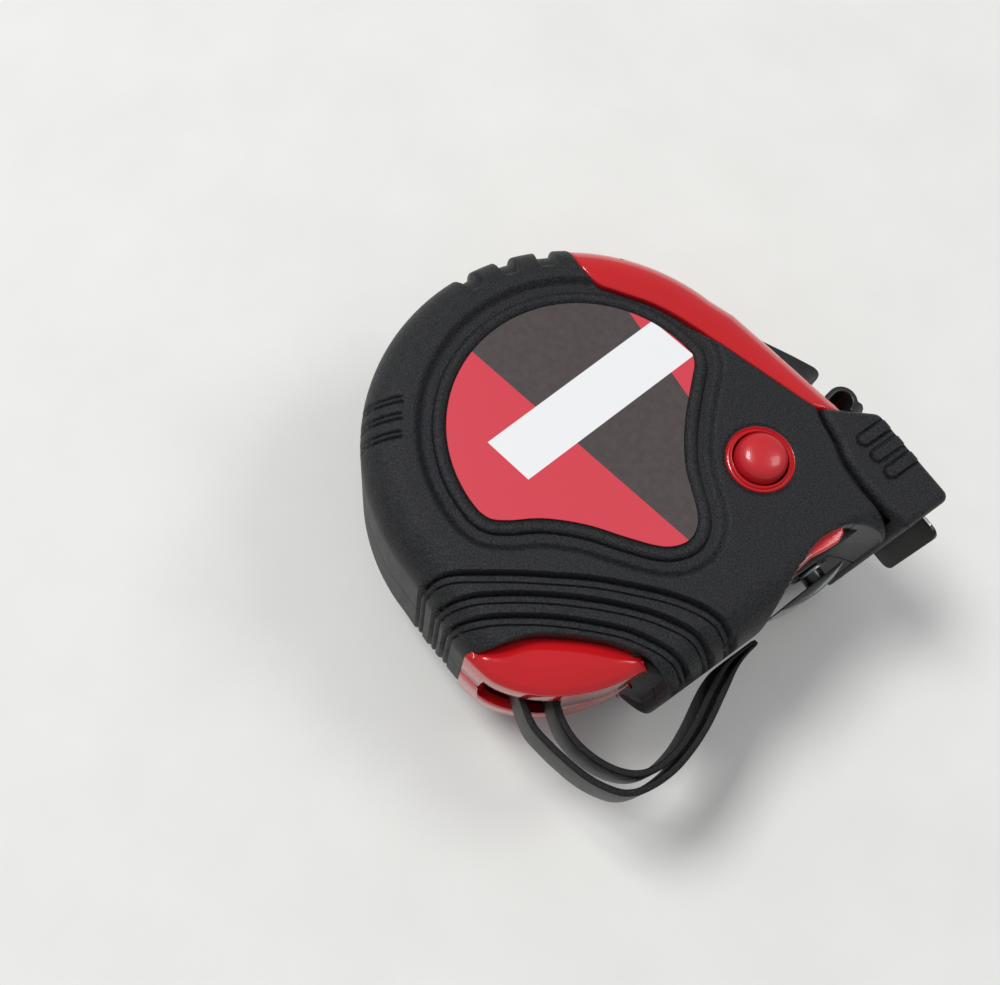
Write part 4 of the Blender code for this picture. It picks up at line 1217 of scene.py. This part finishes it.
def make_recess():
    """The finger recess: its side walls, red rim and pocket, and the brake's pad and stem. The right
    wall's lighter black is painted light; the pocket, web and ceiling are painted near-black as
    shade.
    """
    cx, cy, r = SCOOP
    nose = cx + 6.2
    # the right wall's lighter black is painted light
    wall = [(1.8, 0, 0.9), (0.5, 0, 0.12), (0.12, 0, 0.22), (0.02, 0, 0.5), (0.02, 0.5, 0),
            (0.02, 1, -0.4), (0.15, 1, -0.12), (0.4, 1, 0), (1.8, 1, 0)]
    recess_strip("recess_wall", lambda p: p[:, 0] > nose, wall, PAINTED_LIGHT_WALL)
    rim = [(1.8, 1, -4.0), (0.35, 1, -4.0), (0.1, 1, -3.75), (0.1, 1, -0.4), (0.35, 1, 0),
           (1.8, 1, 0)]
    recess_strip("recess_rim", lambda p: p[:, 0] < nose + 0.3, rim, BLACK)
    # the pocket's near-black is painted shade
    pocket = [(0.9, 0, 0.1), (0.9, 0.5, 0), (0.9, 1, -3.6)]
    recess_strip("recess_pocket", lambda p: p[:, 0] < 13.3, pocket, PAINTED_SHADE_BLACK)
    # the web is a near-black sheet of painted shade
    web = arc(cx, cy, r + 1.2, 48, 132, 20) + [(15.6, -43.5), (31.6, -43.5)]
    lip = arc(cx, cy, r + 1.2, 68, 132, 16) + [(15.6, -43.3), (20.5, -42.7), (24.5, -43.2),
                                               (26.8, -43.3), (28.6, -42.6)]
    for name, side in (("front", 1), ("back", -1)):
        for part, shape, low, high, material, slot in (
                ("web", web, 15.6, 16.5, PAINTED_SHADE_BLACK, "black_plastic"),
                ("lip", lip, 16.6, 19.2, RED, "red_plastic")):
            ends = sorted((MID_Z + side * low, MID_Z + side * high))
            slab("recess_%s_%s" % (part, name), shape, *ends, 0.4, material, "case", slot)
    # the ceiling slabs' near-black is painted shade
    for k, (x0, x1, z0, z1) in enumerate(((12.8, 24.7, -16.6, 16.6), (30.1, 35.4, -16.6, 16.6),
                                          (24.6, 30.2, -16.6, -2.7), (24.6, 30.2, 2.7, 16.6))):
        plate = [(x0, CEILING_LOW), (x1, CEILING_LOW), (x1, CEILING_HIGH), (x0, CEILING_HIGH)]
        slab("recess_ceiling_%d" % k, plate, MID_Z + z0, MID_Z + z1, 0.1, PAINTED_SHADE_BLACK, "case",
             "black_plastic", spacing=1.0)
    pad = [(15.4, -46.9), (19.0, -46.7), (24.0, -46.5), (29.0, -46.4), (32.0, -46.3), (32.2, -46.6),
           (30.6, -47.3), (28.0, -48.0), (24.4, -48.4), (20.6, -48.2), (17.6, -47.7), (15.4, -47.15)]
    slab("brake_pad", spline(pad + pad[:1], 4)[:-1], MID_Z - 5, MID_Z + 5, 0.22, GLOSS_BLACK, "brake",
         "black_plastic", ("brake_button",), spacing=0.3)
    stem = [(2.4, -46.9), (2.4, -42.6), (2.6, -42.3), (5.0, -42.1), (5.6, -41.9), (5.6, -41.5),
            (0.0, -41.4)]
    turned("brake_shaft", (STEM_X, MID_Z), stem, GLOSS_BLACK, "brake", "black_plastic", along_y=True,
           steps=48)


def make_hook():
    """The end hook: a pressed plate with rounded corners, its flange, and a bright steel strip along
    its top edge as a painted highlight.
    """
    x, low, high, half = 47.7, -53.4, -40.7, 11.7
    plate = []
    for side, y, start, r in ((1, low, 270, 2.2), (1, high, 0, 1.2), (-1, high, 90, 1.2),
                              (-1, low, 180, 2.2)):
        cz = MID_Z + side * (half - r)
        cy = y + r if y == low else y - r
        plate += arc(cz, cy, r, start, start + 90, 7)
    slab("hook_plate", plate, x, x + 1.0, 0.2, HOOK, "hook", "black_steel", ("end_hook",),
         along_x=True)
    flange = [(37.8, -41.4), (47.9, -41.4), (47.9, -40.72), (37.8, -40.72)]
    slab("hook_flange", flange, MID_Z - 6, MID_Z + 6, 0.12, HOOK, "hook", "black_steel")
    # bright steel strip on the plate's top edge: a painted highlight
    edge = [(x + 0.3, -50.9), (x + 0.8, -50.9), (x + 0.8, -42.2), (x + 0.3, -42.2)]
    slab("hook_edge", edge, MID_Z + half - 0.1, MID_Z + half + 0.03, 0.03, SPRING, "hook",
         "black_steel", spacing=0.6)


def make_rest():
    make_lock()
    make_recess()
    make_hook()
    for material, width, nodes in (
            (BLACK, 0.2, ["lock_foot"]),
            (STEEL, 0.1, ["hook_rivet_1", "hook_rivet_2", "strap_pin", "centre_post"]),
            (STEEL, 0.15, ["belt_clip", "clip_plate", "clip_screw"]),
            (STEEL, 0.12, ["case_screw_1", "case_screw_2", "case_screw_3", "case_screw_4"]),
            (SPRING, 0.1, ["brake_spring"]),
            (GREY, 0.1, ["reel_hub", "reel_cover"]),
            (SPRING, 0, ["power_spring"]),
            (blade_material(), 0, ["blade_coil", "blade_tongue"])):
        for node in nodes:
            refine(node, material, width)


make_grips()
make_strips()
make_corners()
make_label()
make_button()
make_core()
make_nose_cap()
make_strap()
make_rest()


# ---------------------------------------------------------------- stage, light, camera

def make_stage():
    n = Nodes("stage_floor", (0.80, 0.80, 0.78), 0.7)
    n.paint(n.ramp(n.noise(30.0), (0.3, (0.79, 0.79, 0.755)), (0.7, (0.83, 0.83, 0.795))))
    n.bump(n.noise(900.0), 0.1, 0.0002)
    bm = bmesh.new()
    bmesh.ops.create_grid(bm, x_segments=1, y_segments=1, size=3.0)
    floor = add_object("stage_floor", mesh_of("stage_floor", bm), n.material)
    floor.location = (0, 0, -0.0002)


def area_light(name, place, target, size, power):
    data = bpy.data.lights.new(name, 'AREA')
    data.shape = 'RECTANGLE'
    data.size, data.size_y = size
    data.energy = power
    light = bpy.data.objects.new(name, data)
    light.location = place
    light.rotation_euler = (Vector(target) - Vector(place)).to_track_quat('-Z', 'Y').to_euler()
    bpy.context.scene.collection.objects.link(light)


def make_lights():
    world = bpy.data.worlds.new("soft_world")
    world.use_nodes = True
    world.node_tree.nodes["Background"].inputs["Color"].default_value = (0.93, 0.95, 1.0, 1.0)
    world.node_tree.nodes["Background"].inputs["Strength"].default_value = 0.37
    bpy.context.scene.world = world
    area_light("window", (-0.5, 1.0, 1.9), (0, 0, 0.03), (0.8, 0.6), 30.0)
    area_light("fill", (1.2, -0.6, 1.7), (0, 0, 0.03), (0.8, 0.8), 9.0)


def make_camera():
    data = bpy.data.cameras.new("camera")
    data.lens = 40.6
    data.sensor_width = 36.0
    camera = bpy.data.objects.new("camera", data)
    right = Vector((0.81125, -0.57727, 0.0930))
    up = Vector((0.51754, 0.78291, 0.3454))
    back = Vector((-0.27216, -0.23204, 0.9339))
    turn = Matrix((right, up, back)).transposed().to_4x4()
    camera.matrix_world = Matrix.Translation((-0.08263, -0.03965, 0.238)) @ turn
    data.clip_start = 0.01
    bpy.context.scene.collection.objects.link(camera)
    bpy.context.scene.camera = camera


make_stage()
make_lights()
make_camera()
bpy.context.scene.view_settings.view_transform = 'Standard'
